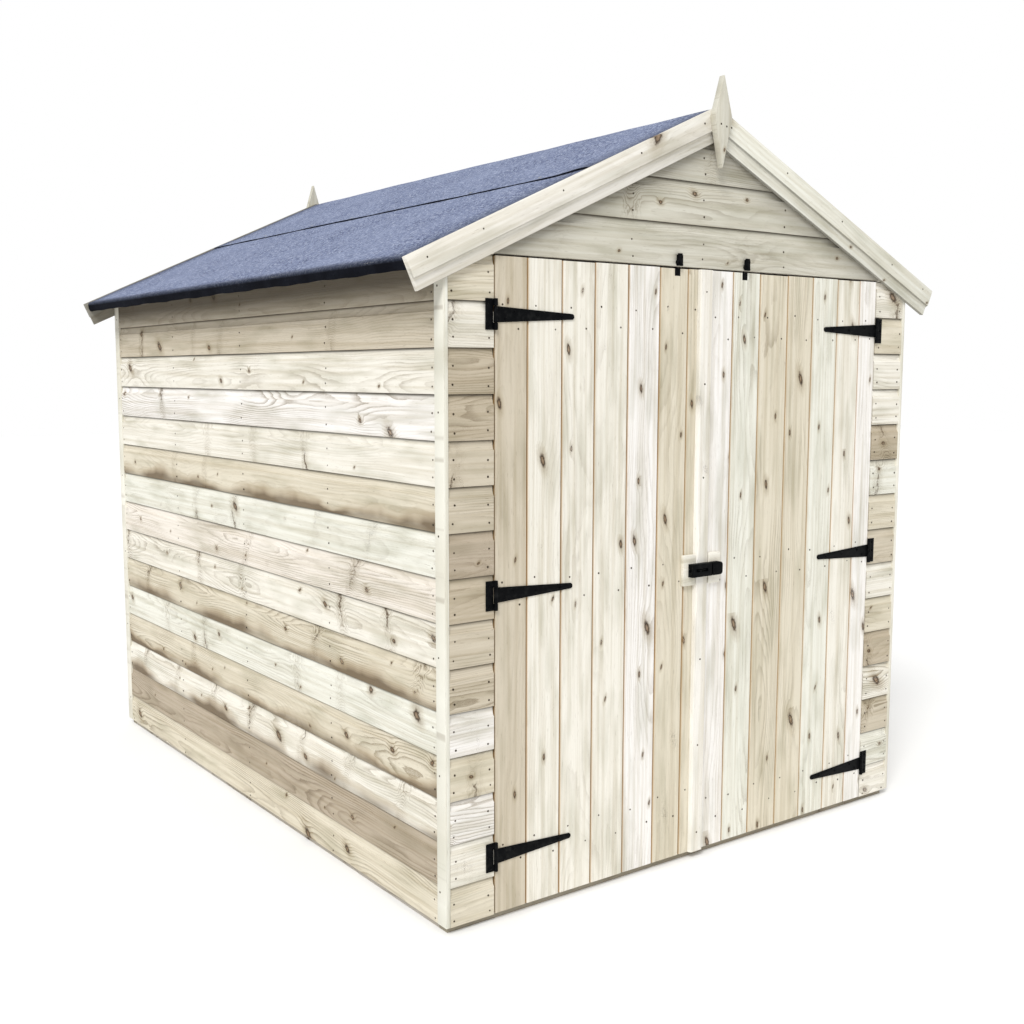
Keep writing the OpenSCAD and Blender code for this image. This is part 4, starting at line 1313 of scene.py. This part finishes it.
class SHED_OT_fixings(bpy.types.Operator):
    """Nails in the boards and trims, clouts in the felt and screws in the hinges."""

    bl_idname = "shed.fixings"
    bl_label = "Nails and screws"

    def execute(self, context):
        sizes = context.scene.shed_fixings
        nail = head_shape("nail_head", ((0.5, -0.2), (0.5, 0.04), (0.42, 0.10)))
        clout = head_shape("clout_head", ((0.5, -0.1), (0.5, 0.06), (0.36, 0.11)), sides=10)
        screw = head_shape("screw_head", ((0.5, -0.1), (0.5, 0.05), (0.40, 0.22), (0.18, 0.28)), sides=12,
                           cross=True)
        rng = random.Random(77)
        groups = {}

        def drive(body, kind, point, facing, loose=0.004):
            """Notes a head on a face, a little off its place within the face."""
            shift = Vector([rng.uniform(-loose, loose) for _ in range(3)])
            facing = Vector(facing)
            shift -= facing * shift.dot(facing)
            groups.setdefault((body, kind), []).append((Vector(point) + shift, facing))

        self.wall_nails(drive, context.scene.shed_boards)
        self.trim_nails(drive)
        self.door_nails(drive)
        self.felt_clouts(drive)
        self.hinge_screws(drive)
        heads = {"nail": (nail, sizes.nail, 0.12, "dulled_wire_nail"),
                 "clout": (clout, sizes.clout, 0.05, "galvanised_clout"),
                 "screw": (screw, sizes.screw, 0.0, "black_powder_coat")}
        for (body, kind), points in groups.items():
            head, size, spread, material = heads[kind]
            name = f"{body}_{kind}s"
            mesh = bpy.data.meshes.new(name)
            mesh.from_pydata([p for p, _ in points], [], [])
            attribute(mesh, "facing", [tuple(facing) for _, facing in points])
            obj = grown(linked(name, mesh), TREES["fixings"], {
                "Head": head, "Size": size, "Spread": spread, "Seed": 5, "Material": finish(material)})
            settled(obj, material, body, crease=45)
        for head in (nail, clout, screw):
            bpy.data.objects.remove(head)
        return {"FINISHED"}

    def wall_nails(self, drive, boards):
        """Two nails a board wherever it crosses a stud."""
        lo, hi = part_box("left_wall_frame")
        t = hi.x - lo.x
        studs = [lo.y + (hi.y - lo.y - t) * i / (STUDS - 1) + t / 2 for i in range(STUDS)]
        studs[0], studs[-1] = WALL_LO.y + 0.014, WALL_HI.y - 0.014
        z = boards.first - boards.cover
        while z < BACK_HI.z:
            for row in NAIL_ROWS:
                at = z + row
                if WALL_LO.z + 0.01 < at < WALL_HI.z - 0.03:
                    for y in studs:
                        for side in (LEFT, RIGHT):
                            drive("root", "nail", (side * -WALL_LO.x, y, at), (side, 0, 0))
                if WALL_LO.z + 0.01 < at < PANEL_HI.z:
                    for side in (LEFT, RIGHT):
                        for x in (PANEL_LO.x + 0.014, PANEL_HI.x - 0.016):
                            drive("root", "nail", (-side * x, FRONT_Y, at), (0, -1, 0))
                reach = (BACK_HI.z - at) / math.tan(PITCH) - 0.05
                for x in BACK_NAILS:
                    if abs(x) < reach:
                        drive("root", "nail", (x, -FRONT_Y, at), (0, 1, 0))
            z += boards.cover
        z = GABLE_LO.z
        while z < GABLE_HI.z - 0.06:
            for row in NAIL_ROWS:
                reach = (GABLE_HI.z - z - row) / math.tan(PITCH) - 0.07
                for x in (-reach, *GABLE_NAILS, reach):
                    if abs(x) <= reach:
                        drive("root", "nail", (x, FRONT_Y, z + row), (0, -1, 0))
            z += boards.gable_cover

    def trim_nails(self, drive):
        """Nails up the corner trims, down the barge boards and in the finials."""
        for end in (LEFT, RIGHT):
            for side in (LEFT, RIGHT):
                for i in range(6):
                    z = TRIM_LO.z + 0.09 + i * 0.31
                    y = end * (-TRIM_LO.y - 0.026)
                    drive("root", "nail", (side * HALF_W, y, z), (side, 0, 0))
                for s in BARGE_NAILS:
                    x, z = slope(s, NAIL_ROWS[0])
                    drive("root", "nail", (-side * x, end * -BARGE_LO.y, z), (0, end, 0))
            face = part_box("finial_front")[0].y
            for x, z in ((-0.010, RIDGE_Z - 0.052), (0.012, RIDGE_Z - 0.056)):
                drive("root", "nail", (x, end * -face, z), (0, end, 0), 0.001)

    def door_nails(self, drive):
        """Two nails a board at every ledge, and a line of them down the meeting strip."""
        for side, joints in (("left", LEFT_DOOR_JOINTS), ("right", RIGHT_DOOR_JOINTS)):
            lo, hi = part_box(side + "_door_boards")
            edges = [lo.x, *joints, hi.x]
            for a, b in zip(edges, edges[1:]):
                for z in hinge_heights(side):
                    for x, dz in ((a + 0.026, 0.030), (b - 0.026, -0.030)):
                        drive(side + "_door", "nail", (x, lo.y, z + dz), (0, -1, 0), 0.008)
        lo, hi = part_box("meeting_strip")
        for i in range(7):
            z = lo.z + 0.06 + i * (hi.z - lo.z - 0.12) / 6
            drive("left_door", "nail", ((lo.x + hi.x) / 2, lo.y, z), (0, -1, 0))

    def felt_clouts(self, drive):
        """Clouts along both lower edges of the ridge felt."""
        spots = [DECK_HI.y - 0.12 - 0.345 * i + 0.03 * math.sin(i * 2.1) for i in range(7)]
        x, z = slope(LAP_S - 0.022, DECK_N - 0.0066)
        for side in (LEFT, RIGHT):
            for y in spots:
                drive("root", "clout", (-side * x, y, z), (side * SIN, 0, COS), 0.006)

    def hinge_screws(self, drive):
        """Three screws in every plate and four in every strap."""
        for side in ("left", "right"):
            sign, pin_x, pin_y, knuckle_r = hinge_line(side)
            y = pin_y + knuckle_r - LEAF_T
            for z in hinge_heights(side):
                for dz in (-0.028, 0, 0.028):
                    drive("root", "screw", (pin_x - sign * 0.0185, y, z + dz), (0, -1, 0), 0)
                for dx, dz in STRAP_SCREWS:
                    drive(side + "_door", "screw", (pin_x + sign * dx, y, z + dz), (0, -1, 0), 0)


AMBIENT = 0.62
KEY = 2.35
KEY_ANGLE = 22
TOWARDS_KEY = (-0.56, -0.44, 0.69)
CAMERA_PLACE = (-2.5514, -3.6826, 1.447)
# Degrees below level, and round from looking straight at the doors
CAMERA_DIP, CAMERA_TURN = 6.728, 35.963


class SHED_OT_stage(bpy.types.Operator):
    """Plain pale floor, soft studio light and the camera."""

    bl_idname = "shed.stage"
    bl_label = "Stage"

    def execute(self, context):
        scene = context.scene
        material = bpy.data.materials.new("pale_floor")
        material.use_nodes = True
        surface = material.node_tree.nodes["Principled BSDF"]
        surface.inputs["Base Color"].default_value = srgb("#FAFAF9")
        surface.inputs["Roughness"].default_value = 0.9
        reach = 25.0
        mesh = bpy.data.meshes.new("floor")
        corners = [(reach * x, reach * y, 0) for x, y in ((-1, -1), (1, -1), (1, 1), (-1, 1))]
        mesh.from_pydata(corners, [], [(0, 1, 2, 3)])
        mesh.materials.append(material)
        linked("pale_floor", mesh)

        # The backdrop is white; the light that it gives is dimmer
        world = bpy.data.worlds.new("studio")
        world.use_nodes = True
        node = shader(world.node_tree)
        seen = node("LightPath")["Is Camera Ray"]
        power = node("MapRange", [seen, 0.0, 1.0, AMBIENT, 1.0])[0]
        back = node("Background", {"Color": srgb("#FFFFFF"), "Strength": power})[0]
        node("OutputWorld", {"Surface": back})
        scene.world = world
        key = linked("key", bpy.data.lights.new("key", "SUN"))
        key.data.energy = KEY
        key.data.angle = math.radians(KEY_ANGLE)
        key.rotation_euler = Vector(TOWARDS_KEY).to_track_quat("Z", "Y").to_euler()

        camera = linked("camera", bpy.data.cameras.new("camera"))
        camera.location = CAMERA_PLACE
        camera.rotation_euler = (math.radians(90 - CAMERA_DIP), 0, math.radians(-CAMERA_TURN))
        camera.data.lens = 42.41
        camera.data.shift_x = 0.0136
        camera.data.shift_y = 0.0039
        scene.camera = camera
        scene.view_settings.view_transform = "Standard"
        scene.view_settings.look = "None"
        return {"FINISHED"}


PIECES = (SHED_OT_walls, SHED_OT_trims, SHED_OT_framing, SHED_OT_decks, SHED_OT_felt, SHED_OT_doors,
          SHED_OT_hinges, SHED_OT_lock, SHED_OT_fixings, SHED_OT_stage)


class SHED_PT_panel(bpy.types.Panel):
    """Lists the pieces of the shed in the sidebar."""

    bl_idname = "SHED_PT_panel"
    bl_label = "Garden shed"
    bl_space_type = "VIEW_3D"
    bl_region_type = "UI"
    bl_category = "Shed"

    def draw(self, context):
        for group in (context.scene.shed_boards, context.scene.shed_fixings, context.scene.shed_colours):
            box = self.layout.box()
            for name in group.__annotations__:
                box.prop(group, name)
        for piece in PIECES:
            self.layout.operator(piece.bl_idname)


GROUPS = {"shed_boards": ShedBoards, "shed_fixings": ShedFixings, "shed_colours": ShedColours}


def register():
    """Adds the shed's settings, operators and panel."""
    for group in GROUPS.values():
        bpy.utils.register_class(group)
    for name, group in GROUPS.items():
        setattr(bpy.types.Scene, name, bpy.props.PointerProperty(type=group))
    for piece in (*PIECES, SHED_PT_panel):
        bpy.utils.register_class(piece)


def unregister():
    """Takes them away again."""
    for piece in (SHED_PT_panel, *PIECES[::-1]):
        bpy.utils.unregister_class(piece)
    for name, group in GROUPS.items():
        delattr(bpy.types.Scene, name)
        bpy.utils.unregister_class(group)


def main():
    """Builds the whole shed."""
    register()
    TREES["courses"] = course_tree()
    TREES["fixings"] = fixing_tree()
    for piece in PIECES:
        group, name = piece.bl_idname.split(".")
        getattr(getattr(bpy.ops, group), name)()


if __name__ == "__main__":
    main()
